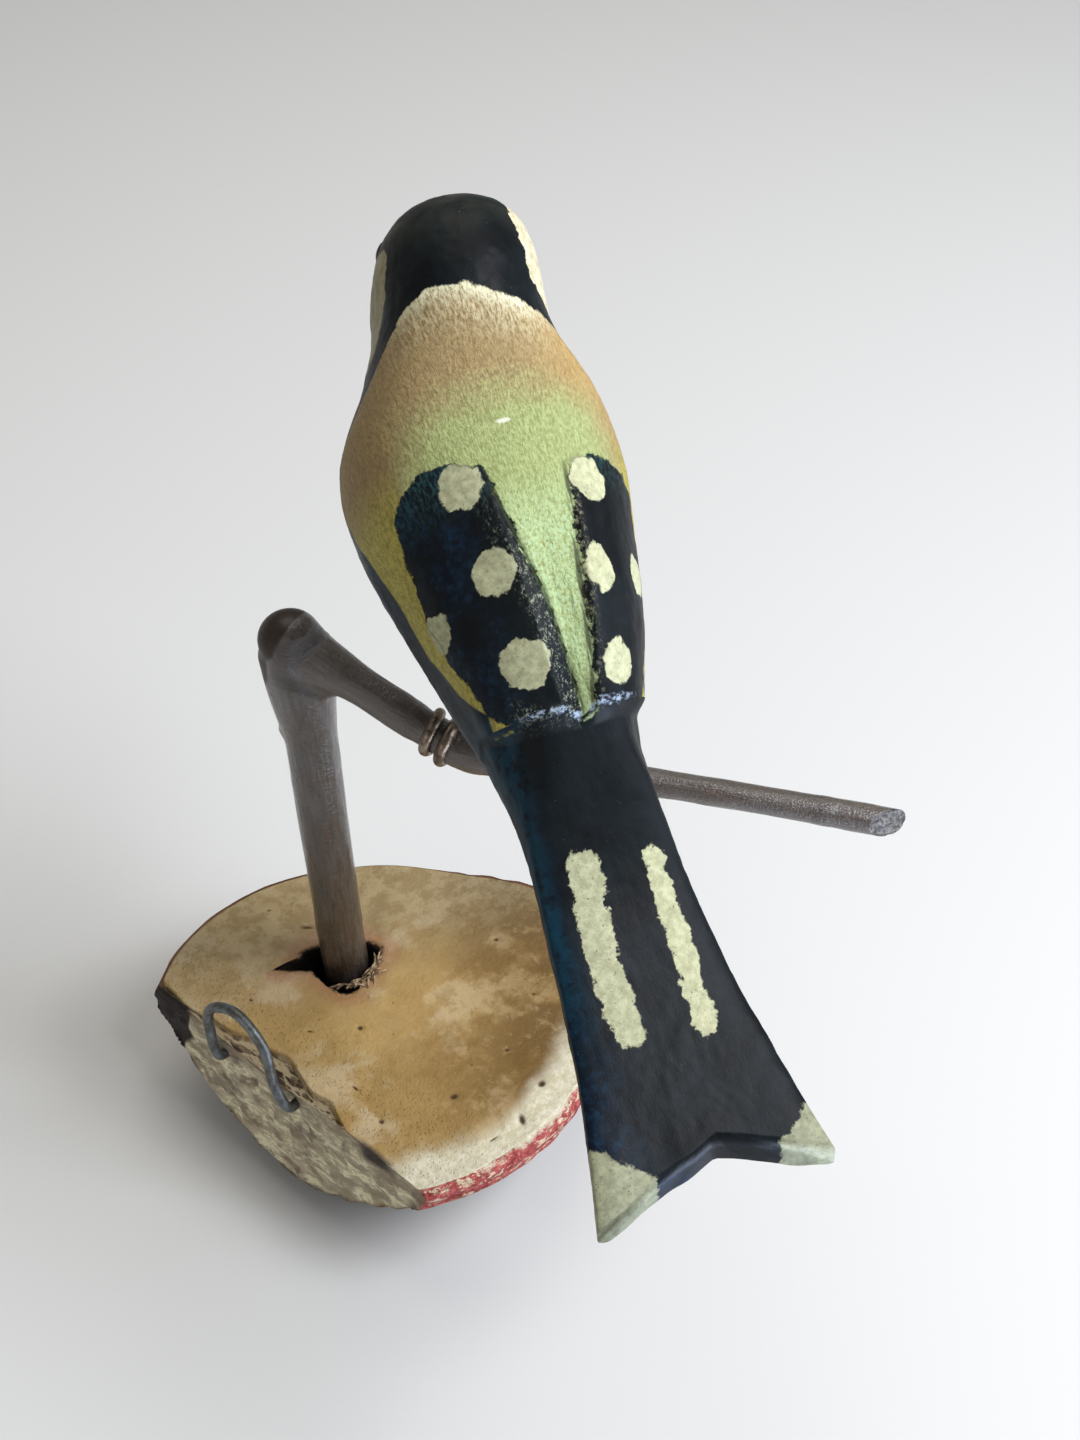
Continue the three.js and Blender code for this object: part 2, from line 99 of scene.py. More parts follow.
def catmull(points, t):
    """Uniform Catmull-Rom curve through the rows of points, at row numbers t."""
    points = np.asarray(points, float)
    t = np.clip(t, 0, len(points) - 1)
    i = np.minimum(t.astype(int), len(points) - 2)
    x = (t - i)[..., None]
    padded = np.vstack([2 * points[0] - points[1], points, 2 * points[-1] - points[-2]])
    a, b, c, d = (padded[i + k] for k in range(4))
    return 0.5 * (2 * b + (c - a) * x + (2 * a - 5 * b + 4 * c - d) * x**2
                  + (3 * b - a - 3 * c + d) * x**3)


def even_path(points, count):
    """Smooth path through the points, as count points at even distances."""
    fine = catmull(points, np.linspace(0, len(points) - 1, 60 * len(points)))
    gone = np.r_[0, np.cumsum(np.linalg.norm(np.diff(fine, axis=0), axis=1))]
    wanted = np.linspace(0, gone[-1], count)
    return np.stack([np.interp(wanted, gone, fine[:, k]) for k in range(3)], -1)


def path_frames(path):
    """Tangent and two cross directions that turn as little as they can."""
    tangent = np.gradient(path, axis=0)
    tangent /= np.linalg.norm(tangent, axis=1, keepdims=True)
    side = np.cross(tangent[0], [0.31, 0.17, 0.93])
    sides = []
    for t in tangent:
        side = side - t * (side @ t)
        side = side / np.linalg.norm(side)
        sides.append(side)
    sides = np.array(sides)
    return tangent, sides, np.cross(tangent, sides)


def lattice(cell, seed):
    """Repeatable value from -1 to 1 for each whole-number cell."""
    n = cell[..., 0] * 374761393 + cell[..., 1] * 668265263 + cell[..., 2] * 1440662683
    n = (n + seed * 974634777) & 0xFFFFFFFF
    n = ((n ^ (n >> 13)) * 1274126177) & 0xFFFFFFFF
    return ((n ^ (n >> 16)) & 0xFFFF) / 32767.5 - 1


def lumps(points, size, seed):
    """Smooth random relief, -1 to 1, with bumps about size across."""
    scaled = points / size
    cell = np.floor(scaled).astype(np.int64)
    x = scaled - cell
    x = x * x * (3 - 2 * x)
    total = 0
    for corner in np.ndindex(2, 2, 2):
        weight = np.prod(np.where(np.array(corner) == 1, x, 1 - x), axis=-1)
        total = total + weight * lattice(cell + np.array(corner), seed)
    return total


def line_distance(along, across, points):
    """Distance to an open line of points in the skin's chart."""
    best = np.full(along.shape, 1e9)
    for (ax, ay), (bx, by) in zip(points[:-1], points[1:]):
        ex, ey = bx - ax, by - ay
        h = np.clip(((along - ax) * ex + (across - ay) * ey) / (ex * ex + ey * ey), 0, 1)
        best = np.minimum(best, np.hypot(along - ax - h * ex, across - ay - h * ey))
    return best


def outline_distance(along, across, corners):
    """Distance to a closed outline in the skin's chart, negative inside."""
    inside = np.zeros(along.shape, bool)
    for (ax, ay), (bx, by) in zip(corners, corners[1:] + corners[:1]):
        if ay != by:
            crosses = (ay > across) != (by > across)
            inside ^= crosses & (along < (bx - ax) * (across - ay) / (by - ay) + ax)
    distance = line_distance(along, across, corners + corners[:1])
    return np.where(inside, -distance, distance)


def grid_faces(rows, columns, first=0):
    """Quads of a grid whose columns close on themselves."""
    i = np.arange(rows - 1)[:, None] * columns
    j = np.arange(columns)[None, :]
    k = (j + 1) % columns
    quads = np.stack(np.broadcast_arrays(i + j, i + k, i + columns + k, i + columns + j), -1)
    return (quads.reshape(-1, 4) + first).tolist()


def fan(ring, middle):
    """Triangles from a ring of vertex numbers to a middle vertex."""
    return np.stack([ring, np.roll(ring, -1), np.full(len(ring), middle)], -1).tolist()


def joined(parts, first=0):
    """Points of several pieces of mesh in one array, and their faces in one list."""
    faces = []
    for points, part_faces in parts:
        faces += [[v + first for v in face] for face in part_faces]
        first += len(points)
    return np.vstack([points for points, _ in parts]), faces


def dress_mesh(mesh, fields):
    """Store named values per vertex, shade smooth and turn the closed mesh's faces outwards."""
    for key, values in fields.items():
        kind, slot = ("FLOAT", "value") if np.ndim(values) == 1 else ("FLOAT_VECTOR", "vector")
        layer = mesh.attributes.new(key, kind, "POINT")
        layer.data.foreach_set(slot, np.ascontiguousarray(values, dtype=np.float32).ravel())
    mesh.polygons.foreach_set("use_smooth", np.ones(len(mesh.polygons), bool))
    mesh.calc_loop_triangles()
    corners = np.empty(len(mesh.loop_triangles) * 3, np.int32)
    mesh.loop_triangles.foreach_get("vertices", corners)
    a, b, c = np.moveaxis(vertices(mesh)[corners.reshape(-1, 3)], 1, 0)
    if np.einsum("ij,ij->i", a, np.cross(b, c)).sum() < 0:
        mesh.flip_normals()


def make_mesh(name, points, faces, fields=()):
    """Object from points in millimetres, faces and named values per vertex."""
    mesh = bpy.data.meshes.new(name)
    mesh.from_pydata(np.asarray(points) / 1000, [], faces)
    mesh.update()
    dress_mesh(mesh, dict(fields))
    item = bpy.data.objects.new(name, mesh)
    bpy.context.scene.collection.objects.link(item)
    return item


def vertices(mesh):
    """Vertex places of a mesh, in millimetres."""
    place = np.empty(len(mesh.vertices) * 3, np.float32)
    mesh.vertices.foreach_get("co", place)
    return place.reshape(-1, 3).astype(float) * 1000


def tube(path, radius, sides):
    """Points and faces of a closed round tube, with a radius per point or per vertex."""
    _, side, over = path_frames(path)
    turn = 2 * np.pi * np.arange(sides) / sides
    radius = np.broadcast_to(np.asarray(radius, float).reshape(len(path), -1), (len(path), sides))
    ring = np.cos(turn)[:, None] * side[:, None] + np.sin(turn)[:, None] * over[:, None]
    points = path[:, None] + ring * radius[..., None]
    count = len(path) * sides
    faces = grid_faces(len(path), sides)
    faces += fan(np.arange(sides)[::-1], count)
    faces += fan(np.arange(count - sides, count), count + 1)
    return np.vstack([points.reshape(-1, 3), path[:1], path[-1:]]), faces


# %% Materials
def colour(code):
    """Linear colour for the shader from a hex sRGB code."""
    parts = [int(code[i:i + 2], 16) / 255 for i in (1, 3, 5)]
    linear = [c / 12.92 if c <= 0.04045 else ((c + 0.055) / 1.055) ** 2.4 for c in parts]
    return (*linear, 1.0)


def sign(operation, turned=False):
    """A method that puts a value and another into a Math node, in turned order if asked."""
    def result(self, other=0.0):
        return self.look.math(operation, *((other, self) if turned else (self, other)))
    return result


class Value:
    """An output of a look's node tree, for sums, products and steps; a | b is the larger."""

    __add__, __radd__ = sign("ADD"), sign("ADD", turned=True)
    __sub__, __rsub__ = sign("SUBTRACT"), sign("SUBTRACT", turned=True)
    __mul__, __or__, __abs__ = sign("MULTIPLY"), sign("MAXIMUM"), sign("ABSOLUTE")

    def __init__(self, look, socket):
        self.look, self.socket = look, socket

    def step(self, low, high):
        """Smooth step from 0 at low to 1 at high; low may be above high."""
        if low > high:
            return 1.0 - self.step(high, low)
        return self.look.node("MapRange", {"Value": self, "From Min": low, "From Max": high},
                              interpolation_type="SMOOTHSTEP")


class Look:
    """A material and its node tree, with one short call for each kind of node."""

    def __init__(self, name):
        self.material = bpy.data.materials.new(name)
        self.material.use_nodes = True
        self.tree = self.material.node_tree
        self.tree.nodes.clear()
        self.place = self.node("TexCoord", out="Object")

    def add(self, kind, inputs, **settings):
        """Add a node; inputs are constants or values of the tree."""
        node = self.tree.nodes.new("ShaderNode" + kind)
        for key, value in settings.items():
            setattr(node, key, value)
        for key, value in inputs.items():
            if isinstance(value, Value):
                self.tree.links.new(value.socket, node.inputs[key])
            else:
                node.inputs[key].default_value = value
        return node

    def node(self, kind, inputs=(), out=0, **settings):
        """Add a node and give one of its outputs."""
        return Value(self, self.add(kind, dict(inputs), **settings).outputs[out])

    def field(self, name, out="Fac"):
        return self.node("Attribute", out=out, attribute_name=name)

    def math(self, operation, a, b):
        return self.node("Math", {0: a, 1: b}, operation=operation)

    def mapped(self, place, stretch):
        place = place or self.place
        return self.node("Mapping", {"Vector": place, "Scale": stretch}) if stretch else place

    def noise(self, per_mm, detail=3.0, rough=0.55, stretch=None, place=None):
        """Noise of about per_mm bumps to the millimetre, centred on 0.5."""
        return self.node("TexNoise", {"Vector": self.mapped(place, stretch), "Scale": per_mm * 1000,
                                      "Detail": detail, "Roughness": rough})

    def cells(self, per_mm, stretch, place):
        """Distance from the middles of cells, about per_mm to the millimetre."""
        place = self.mapped(place, stretch)
        return self.node("TexVoronoi", {"Vector": place, "Scale": per_mm * 1000})

    def mix(self, share, a, b):
        """Colour a where share is 0, b where it is 1; colours are hex codes or values."""
        a, b = (colour(c) if isinstance(c, str) else c for c in (a, b))
        return self.node("Mix", {"Factor": share, 6: a, 7: b}, out=2, data_type="RGBA")

    def layers(self, base, *coats):
        """Lay coats over a base colour; each is a share and a colour."""
        for share, coat in coats:
            base = self.mix(share, base, coat)
        return base

    def bump(self, height, depth_mm):
        return self.node("Bump", {"Height": height, "Distance": depth_mm / 1000, "Strength": 1.0})

    def finish(self, base, roughness, normal=None, **constants):
        inputs = {"Base Color": colour(base) if isinstance(base, str) else base,
                  "Roughness": roughness}
        if normal:
            inputs["Normal"] = normal
        inputs.update({key.replace("_", " "): value for key, value in constants.items()})
        shader = self.node("BsdfPrincipled", inputs)
        self.add("OutputMaterial", {"Surface": shader})
        return self.material


# %% [markdown]
# The bird is a skin over sections from beak to tail, with the same stations as
# the solid. A chart of the skin gives every painted mark its place: distance
# along the top line, and distance across from it, right side positive.

# %% Bird shape
BIRD_LENGTH = 115.0
BASE_HEIGHT = 24.0
BIRD_ROLL = math.radians(2)
# forward and up of the top line and of the bottom line, half width, squareness
# of the section and sideways lean; all but the squareness in bird lengths
STATIONS = np.array([
    (0.378, 0.495, 0.377, 0.488, 0.004, 2.0, 0.012),
    (0.349, 0.510, 0.343, 0.472, 0.017, 2.0, 0.013),
    (0.315, 0.523, 0.308, 0.453, 0.030, 2.0, 0.014),
    (0.304, 0.548, 0.298, 0.422, 0.057, 2.1, 0.015),
    (0.273, 0.583, 0.297, 0.389, 0.078, 2.2, 0.015),
    (0.216, 0.607, 0.286, 0.352, 0.092, 2.2, 0.014),
    (0.156, 0.596, 0.274, 0.307, 0.096, 2.2, 0.008),
    (0.102, 0.561, 0.255, 0.258, 0.110, 2.1, -0.003),
    (0.042, 0.512, 0.208, 0.215, 0.146, 2.1, -0.006),
    (-0.027, 0.463, 0.133, 0.166, 0.149, 2.1, -0.004),
    (-0.095, 0.413, 0.041, 0.130, 0.129, 2.1, -0.003),
    (-0.161, 0.357, -0.062, 0.109, 0.106, 2.2, -0.003),
    (-0.210, 0.305, -0.161, 0.103, 0.084, 2.3, -0.006),
    (-0.246, 0.250, -0.239, 0.098, 0.075, 2.5, -0.005),
    (-0.290, 0.180, -0.300, 0.088, 0.077, 2.8, -0.001),
    (-0.345, 0.121, -0.357, 0.058, 0.083, 3.4, 0.003),
    (-0.427, 0.065, -0.437, 0.019, 0.093, 4.2, 0.007),
    (-0.514, 0.022, -0.522, -0.019, 0.108, 5.2, 0.010),
    (-0.612, -0.023, -0.616, -0.060, 0.130, 6.5, 0.011),
])
STATIONS *= [BIRD_LENGTH] * 5 + [1, BIRD_LENGTH]
LAST = len(STATIONS) - 1
GROOVE_START = 9.0
GROOVE_DEPTH = 2.2
GROOVE_HALF = (4.8, 1.3)          # half width where it opens and at the wing tips
LEDGE_STATION = 12.5
LEDGE_SWEEP = 0.75
LEDGE_HEIGHT = 1.7
LEDGE_RUN = 0.23                  # stations over which the wing tips drop
WING_EDGE = (math.radians(65), math.radians(90))
NOTCH_DEPTH = 5.5
NOTCH_STATIONS = 1.5
NOTCH_ASIDE = 0.1


def sweep(angle):
    """How far forward of the top line's ledge the wing tips end, in stations."""
    return LEDGE_SWEEP * (1 - np.maximum(0, np.cos(angle)))


def bird_skin(station, angle):
    """Skin points and outward directions in the bird's own frame.

    A section is a rounded rectangle between the top and bottom lines; the
    wings stand proud before the ledge and the tail root is cut in behind it."""
    values = catmull(STATIONS, station)
    top, bottom = values[..., 0:2], values[..., 2:4]
    half, power, lean = values[..., 4], values[..., 5], values[..., 6]
    long = (np.abs(np.cos(angle)) ** power + np.abs(np.sin(angle)) ** power) ** (-1 / power)
    rise, side = long * np.cos(angle), long * np.sin(angle)
    middle, reach = (top + bottom) / 2, (top - bottom) / 2
    line = middle + reach * rise[..., None]
    unit = reach / np.linalg.norm(reach, axis=-1, keepdims=True)
    out = np.stack([side, unit[..., 0] * rise, unit[..., 1] * rise], -1)
    out /= np.linalg.norm(out, axis=-1, keepdims=True)
    points = np.stack([half * side + lean, line[..., 0], line[..., 1]], -1)

    wing = 1 - smooth(np.abs(angle), *WING_EDGE)
    past = station + sweep(angle) - LEDGE_STATION
    lifted = wing * smooth(past, GROOVE_START - 1 - LEDGE_STATION, -0.5)
    lifted = lifted * (1 - smooth(past, 0, LEDGE_RUN))
    sunk = wing * smooth(past, 0, LEDGE_RUN) * (1 - smooth(past, 0.4, 1.6))
    opening = np.clip((station - GROOVE_START) / (LEDGE_STATION - GROOVE_START), 0, 1)
    width = GROOVE_HALF[0] + (GROOVE_HALF[1] - GROOVE_HALF[0]) * opening
    valley = np.maximum(0, 1 - np.abs(half * side) / (width + 0.5)) ** 0.7
    valley = valley * opening * (1 - smooth(past, 0, LEDGE_RUN)) * (np.abs(angle) < np.pi / 2)
    points += out * (LEDGE_HEIGHT / 2 * (lifted - sunk) - GROOVE_DEPTH * valley)[..., None]

    tail = np.maximum(0, (station - LAST + NOTCH_STATIONS) / NOTCH_STATIONS)
    pull = NOTCH_DEPTH * (1 - np.minimum(1, np.abs(side - NOTCH_ASIDE))) * tail
    points[..., 1] += pull * 0.9
    points[..., 2] += pull * 0.42
    return points, out


def swing(reach, turn, rise):
    """Step over a level reach at a turn from +X, and up."""
    a = math.radians(turn)
    return np.array([reach * math.cos(a), reach * math.sin(a), rise])


FUNGUS_CENTRE = np.array([1.0, 1.0])
STEM_FOOT = np.array([-6.5, 15.9, BASE_HEIGHT])
KNUCKLE = STEM_FOOT + [-1.0, 0.5, 70.7]
PERCH_BEND = KNUCKLE + swing(26.0, -48.8, -8.2)
PERCH_END = PERCH_BEND + swing(62.3, -29.2, -4.7)
BIRD_PLACE = PERCH_BEND + [5.5, -3.8, 1.3]


def bird_to_frame(points):
    """From the bird's own frame to the frame of the whole object."""
    c, s = math.cos(BIRD_ROLL), math.sin(BIRD_ROLL)
    turn = np.array([[c, 0, s], [0, 1, 0], [-s, 0, c]])
    return points @ turn.T + BIRD_PLACE


SKIN_COLUMNS = 232
SKIN_CROWDING = 0.5               # more columns over the back than over the belly
rows = np.linspace(0, LAST, 360)
rows = np.sort(np.r_[rows, np.linspace(LEDGE_STATION - 0.15, LEDGE_STATION + 0.3, 24)])
turn = -np.pi + 2 * np.pi * np.arange(SKIN_COLUMNS) / SKIN_COLUMNS
turn = turn - SKIN_CROWDING * np.sin(turn)
angle, row = np.meshgrid(turn, rows)
near_ledge = 1 - smooth(np.abs(row - LEDGE_STATION), 0.5, 3)
skin, out = bird_skin(row - near_ledge * sweep(angle), angle)

top_column = int(np.argmin(np.abs(turn)))
steps = np.linalg.norm(np.diff(skin[:, top_column], axis=0), axis=1)
along = np.repeat(np.r_[0, np.cumsum(steps)][:, None], SKIN_COLUMNS, 1)
steps = np.linalg.norm(np.diff(skin, axis=1), axis=2)
across = np.concatenate([np.zeros((len(rows), 1)), np.cumsum(steps, 1)], 1)
across -= across[:, top_column:top_column + 1]
print("skin grid", skin.shape[:2], "length along the back", round(float(along.max()), 1))

# %% Painted marks on the skin
# Outlines in the skin's chart: (along, across) in millimetres
NAPE_EDGE = [(47, -30), (44, -23), (39, -16), (35.8, -11.4), (34.8, -6.7), (35.8, -2.1), (38, 2.6),
             (39.7, 10.3), (42, 15), (46, 23), (49, 30)]
CHEEK_LEFT = [(22.5, -11.8), (26, -13), (30, -15), (33, -17), (36, -18.5), (37, -22), (34, -27),
              (28, -28), (22, -26), (19, -20), (20, -14)]
CHEEK_RIGHT = [(21.5, 6.4), (26, 6.5), (30, 7.1), (34.8, 8.2), (37, 11.8), (38, 20), (35, 26),
               (28, 28), (22, 25), (19, 18), (20, 11)]
WING_LEFT = [(57.2, -16.4), (55.9, -11.3), (56.8, -7.5), (58.4, -4.7), (64.9, -3.7), (75.1, -1.5),
             (83, -0.2), (88, 0.7), (92, 0.9), (92, -6), (90, -9), (87, -12.8), (79.3, -17.1),
             (73.3, -18.4), (66, -18.9), (59.9, -18.4)]
WING_RIGHT = [(59.7, 5.3), (58.2, 9), (58.4, 13), (59.5, 16.5), (62, 18.6), (70, 18.8), (79, 17.3),
              (87, 13.2), (92, 9), (92, 2.6), (89.3, 2.7), (82, 2.9), (76.3, 3), (66.5, 4.2)]
STRIPE_SIDE = [(50, 34), (56, 31), (59, 29), (66, 25.4), (72, 24.4), (78, 23.4), (84, 18),
               (87.4, 12.6)]
SPOTS = [                          # along, across, half length, half width
    (59.5, -8.2, 2.8, 2.8), (70.6, -6.8, 2.8, 2.6), (82.6, -5.9, 3.1, 3.1), (75.3, -17.0, 3.0, 2.3),
    (61.4, 7.9, 2.8, 2.7), (73.0, 5.9, 3.0, 2.3), (85.0, 6.3, 2.9, 2.4), (73.6, 15.0, 3.0, 2.6),
]
TAIL_BARS = [([(107.0, -3.4), (117.3, -4.5), (126.6, -4.4)], 1.95),
             ([(107.6, 5.2), (118.5, 5.2), (128.2, 4.9)], 1.4)]
TIP_SUM = (148.0, 150.2)          # along + across beyond which the tail tips are cream
FLECK = [(53.6, -2.9), (53.3, -0.3)]
BIB_HALF = [(0, 10, 20, 30, 40, 55, 75), (9, 9, 11, 9, 4, 2.2, 1.5)]    # along, half width
EYE_ROW, EYE_TURN = 4.1, math.radians(66)


def spot_distance(spot):
    """Distance to an oval spot, negative inside."""
    a, c, length, width = spot
    return (np.hypot((along - a) / length, (across - c) / width) - 1) * min(length, width)


nape = np.array(sorted(NAPE_EDGE, key=lambda p: p[1]))
cap = along - np.interp(across, nape[:, 1], nape[:, 0])
cheek = np.minimum(outline_distance(along, across, CHEEK_LEFT),
                   outline_distance(along, across, CHEEK_RIGHT))
wing_left = outline_distance(along, across, WING_LEFT)
wing_right = outline_distance(along, across, WING_RIGHT)
wing = np.minimum(wing_left, wing_right)
stripe = np.abs(across) - np.interp(along, *np.array(STRIPE_SIDE).T)
tail_black = np.where(row > LEDGE_STATION, -1.0, 1.0) * np.abs(row - LEDGE_STATION - 0.08) * 7
spots = np.min([spot_distance(spot) for spot in SPOTS], axis=0)
bars = np.min([line_distance(along, across, line) - half for line, half in TAIL_BARS], axis=0)
aside = skin[..., 0] - catmull(STATIONS, row)[..., 6]
tips = np.where(aside < 0, *TIP_SUM) - along - np.abs(aside)
tips = np.where(row < LAST - 2, 5.0, tips)
fleck = line_distance(along, across, FLECK) - 0.35
from_keel = np.maximum(-across[:, :1], across[:, -1:]) - np.abs(across)
bib = from_keel - np.interp(along, *BIB_HALF)
eye_points = [bird_skin(np.array(EYE_ROW), np.array(s * EYE_TURN))[0] for s in (-1, 1)]
eye = np.min([np.linalg.norm(skin - p, axis=-1) for p in eye_points], axis=0)

# %% Carving
# The inner edges of the wings stand as low walls beside the wedge, with a
# scribed line along the left one; the knife left flat facets everywhere
INNER_WALL = 0.55
SCRIBED_LINE = 0.3
KNIFE_FACETS = 0.16
BRUSH_RELIEF = 0.05
TAIL_ROOT_LUMPS = 0.35
MOUTH_DEPTH, MOUTH_TURN, MOUTH_WIDTH, BEAK_RADIUS = 0.25, math.radians(96), 0.35, 3.2
EYE_HEIGHT, EYE_RADIUS = 0.3, 1.2
TAIL_END_WAVE = 0.5
behind = smooth(along, 59, 68) * (row < LEDGE_STATION)
wall = (1 - smooth(wing, -0.5, 0.15)) * (1 - smooth(-wing, 1.0, 5.5))
inner = smooth(-np.abs(across), -12, -6)
relief = INNER_WALL * wall * behind * inner
relief = relief - SCRIBED_LINE * np.exp(-(wing_left / 0.35) ** 2) * behind * inner
body = smooth(along, 8, 16)
facets = 0.6 * lumps(skin * [1, 0.6, 0.6], 5.5, 3) + 0.4 * lumps(skin, 2.2, 4)
relief += body * KNIFE_FACETS * facets
relief += body * BRUSH_RELIEF * lumps(skin, 0.9, 5)
past_ledge = np.clip(row - LEDGE_STATION, 0, 9) * 9.0
tail_root = (row > LEDGE_STATION) * np.exp(-((past_ledge - 1.2) / 0.8) ** 2)
relief += TAIL_ROOT_LUMPS * tail_root * lumps(skin, 2.6, 6)
mouth = np.exp(-((np.abs(angle) - MOUTH_TURN) * BEAK_RADIUS / MOUTH_WIDTH) ** 2)
mouth *= (row < 2.6) * smooth(row, 0.3, 1.2)
relief -= MOUTH_DEPTH * mouth
relief += EYE_HEIGHT * np.sqrt(np.clip(1 - (eye / EYE_RADIUS) ** 2, 0, 1))
fade_end = 1 - smooth(row, LAST - 0.25, LAST)
skin = skin + out * (relief * fade_end)[..., None]
skin[..., 1] += smooth(row, LAST - 1, LAST) * TAIL_END_WAVE * lumps(skin * [1, 0, 0] + 7, 3.1, 8)


def bird_faces():
    """Grid faces, the beak's point, and the strip that closes the tail."""
    faces = grid_faces(len(rows), SKIN_COLUMNS)
    faces += fan(np.arange(SKIN_COLUMNS)[::-1], skin.shape[0] * SKIN_COLUMNS)
    edge = (len(rows) - 1) * SKIN_COLUMNS
    half = SKIN_COLUMNS // 2
    quarter = half // 2
    upper = edge + (top_column + np.arange(-quarter, quarter + 1)) % SKIN_COLUMNS
    lower = edge + (top_column + half - np.arange(-quarter, quarter + 1)) % SKIN_COLUMNS
    for j in range(2 * quarter):
        strip = [upper[j], upper[j + 1], lower[j + 1], lower[j]]
        faces.append([int(v) for v in dict.fromkeys(strip)])
    return faces


beak_point = skin[0].mean(axis=0) + [0, 0.1, 0]
skin_points = np.vstack([skin.reshape(-1, 3), beak_point])
marks = {
    "cap": cap, "cheek": cheek, "wing": wing, "stripe": stripe, "tail_black": tail_black,
    "spots": spots, "bars": bars, "tips": tips, "fleck": fleck, "bib": bib, "eye": eye,
    "along": along, "across": across, "keel": from_keel,
    "wing_left": wing_left, "wing_right": wing_right, "ledge": (row - LEDGE_STATION) * 8.0,
}
fields = {key: np.r_[values.ravel(), values.ravel()[0]] for key, values in marks.items()}
bird = make_mesh("bird_painted", bird_to_frame(skin_points), bird_faces(), fields)
print("bird", len(bird.data.polygons), "faces")

# %% Bird paint
# Oil or enamel paint over carved wood, brushed on, a little worn
paint = Look("brushed enamel on carved wood")
low_ragged = paint.noise(0.5, 2.0, 0.5) - 0.5
ragged = paint.noise(1.3, 4.0, 0.65) - 0.5
fine_ragged = paint.noise(4.5, 3.0, 0.6) - 0.5
edge_shift = ragged * 1.3 + fine_ragged * 0.6 + low_ragged * 2.2


def inside(name, softness=0.16, wobble=1.0, shift=0.0):
    """Share of paint for a mark: 1 inside, with a ragged brushed edge."""
    return (paint.field(name) + edge_shift * wobble + shift).step(softness, -softness)


along_in, across_in = paint.field("along"), paint.field("across")
width_in = abs(across_in)
cloud = paint.noise(0.13, 3.0, 0.5)
stipple = paint.noise(2.9, 5.0, 0.72, stretch=(1.0, 0.5, 0.8))
slant = paint.node("Mapping", {"Vector": paint.place, "Rotation": (0.3, 0.2, 0.9),
                               "Scale": (1.0, 0.22, 0.5)})
brushed = paint.noise(3.2, 4.0, 0.7, place=slant)
grain = paint.noise(3.2, 3.0, 0.6, stretch=(1.0, 0.35, 1.0))
streak = paint.noise(1.1, 4.0, 0.7, stretch=(1.0, 0.12, 0.12))
texture = stipple * 0.55 + brushed * 0.45
fine = texture.step(0.38, 0.62)

# Back: brushed tan under a cream nape, green behind; the right shoulder painted lighter and golden
# as lit, the left side painted darker as shade
lit_gold_shoulder = across_in.step(1.0, 15.0) * along_in.step(62.0, 44.0) * 0.6
# painted highlights: pale mint glints on the green
mint_glints = along_in.step(58.0, 68.0) * grain.step(0.36, 0.6) * 0.7
dark_streak = streak.step(0.52, 0.64) * along_in.step(62.0, 76.0) * 0.5
green = paint.layers(paint.mix(fine, "#818a53", "#a5b077"),
                     (mint_glints, "#b6d0a0"), (dark_streak, "#3c4a22"))
shift = (cloud - 0.5) * 12.0
toward_green = (along_in + shift + (texture - 0.5) * 14.0).step(46.0, 56.0)
side_back = (width_in + shift).step(19.0, 9.0)
near_middle = abs(across_in + 1.0).step(15.0, 5.0)
nape_edge = (paint.field("cap") + ragged * 4.0).step(3.0, 0.2) * brushed.step(0.3, 0.56)
nape_fade = paint.field("cap").step(8.0, 0.0) * brushed.step(0.4, 0.62) * 0.6
back = paint.layers(
    paint.mix(fine, "#7f6b49", "#a08b5f"),
    # painted light: the right shoulder lighter and golden
    (lit_gold_shoulder, paint.mix(fine, "#a28449", "#c3a064")),
    # painted shade: the left side of the back darker
    (across_in.step(-5.0, -20.0) * 0.6, paint.mix(fine, "#725d39", "#86714a")),
    (toward_green * side_back, green),
    ((nape_edge * 0.95 | nape_fade) * near_middle, "#d9d7b6"))

# Flank stripe, belly and throat
wing_narrows = along_in.step(68.0, 92.0) * 9.0
beside = (width_in + wing_narrows).step(14.5, 17.0)
body_colour = paint.layers(
    back,
    (beside * along_in.step(52.0, 60.0), paint.mix(fine, "#7b7230", "#aca150")),
    (paint.field("keel").step(24.0, 19.0) * along_in.step(62.0, 50.0),
     paint.mix(fine, "#85743c", "#ab9b59")))

# Black, its left side painted with a patchy blue and teal sheen
blue_sheen = paint.mix(paint.noise(0.8, 5.0, 0.7).step(0.42, 0.66), "#08101a", "#0f2536")
teal_sheen_side = across_in.step(-6.5, -9.5) * along_in.step(86.0, 92.0) * along_in.step(132.0, 112.0)
feather = along_in.step(64.5, 56.5) * along_in.step(50.0, 54.0) * brushed.step(0.42, 0.62)
cap_tone = along_in.step(32.0, 14.0) * along_in.step(9.0, 15.0)
olive_brow = along_in.step(21.0, 16.0) * along_in.step(9.0, 14.0) * across_in.step(-3.0, 3.0)
black = paint.layers(
    paint.mix(cloud.step(0.35, 0.65), "#0a0d0f", "#101618"),
    # painted sheen: blue on the left side behind the nape
    (across_in.step(-5.0, -11.5) * along_in.step(50.0, 62.0) * cloud.step(0.28, 0.5), blue_sheen),
    # painted sheen: teal on the tail's left side
    (teal_sheen_side * paint.noise(0.5, 4.0, 0.7).step(0.36, 0.56) * 0.75, "#0d3342"),
    (feather * 0.7, "#2c4a4a"),
    (cap_tone * paint.noise(0.3, 3.0).step(0.3, 0.65) * 0.8, "#3a3a2e"),
    (olive_brow * 0.7, "#4b4a33"),
    (paint.noise(2.2, 5.0, 0.75).step(0.63, 0.72) * 0.3, "#4f5960"))
flank = paint.field("stripe").step(-0.3, 0.3) * along_in.step(48.0, 56.0)
share = inside("cap", wobble=0.6) | inside("wing") | inside("tail_black", wobble=0.3)
share = share | inside("bib") | flank
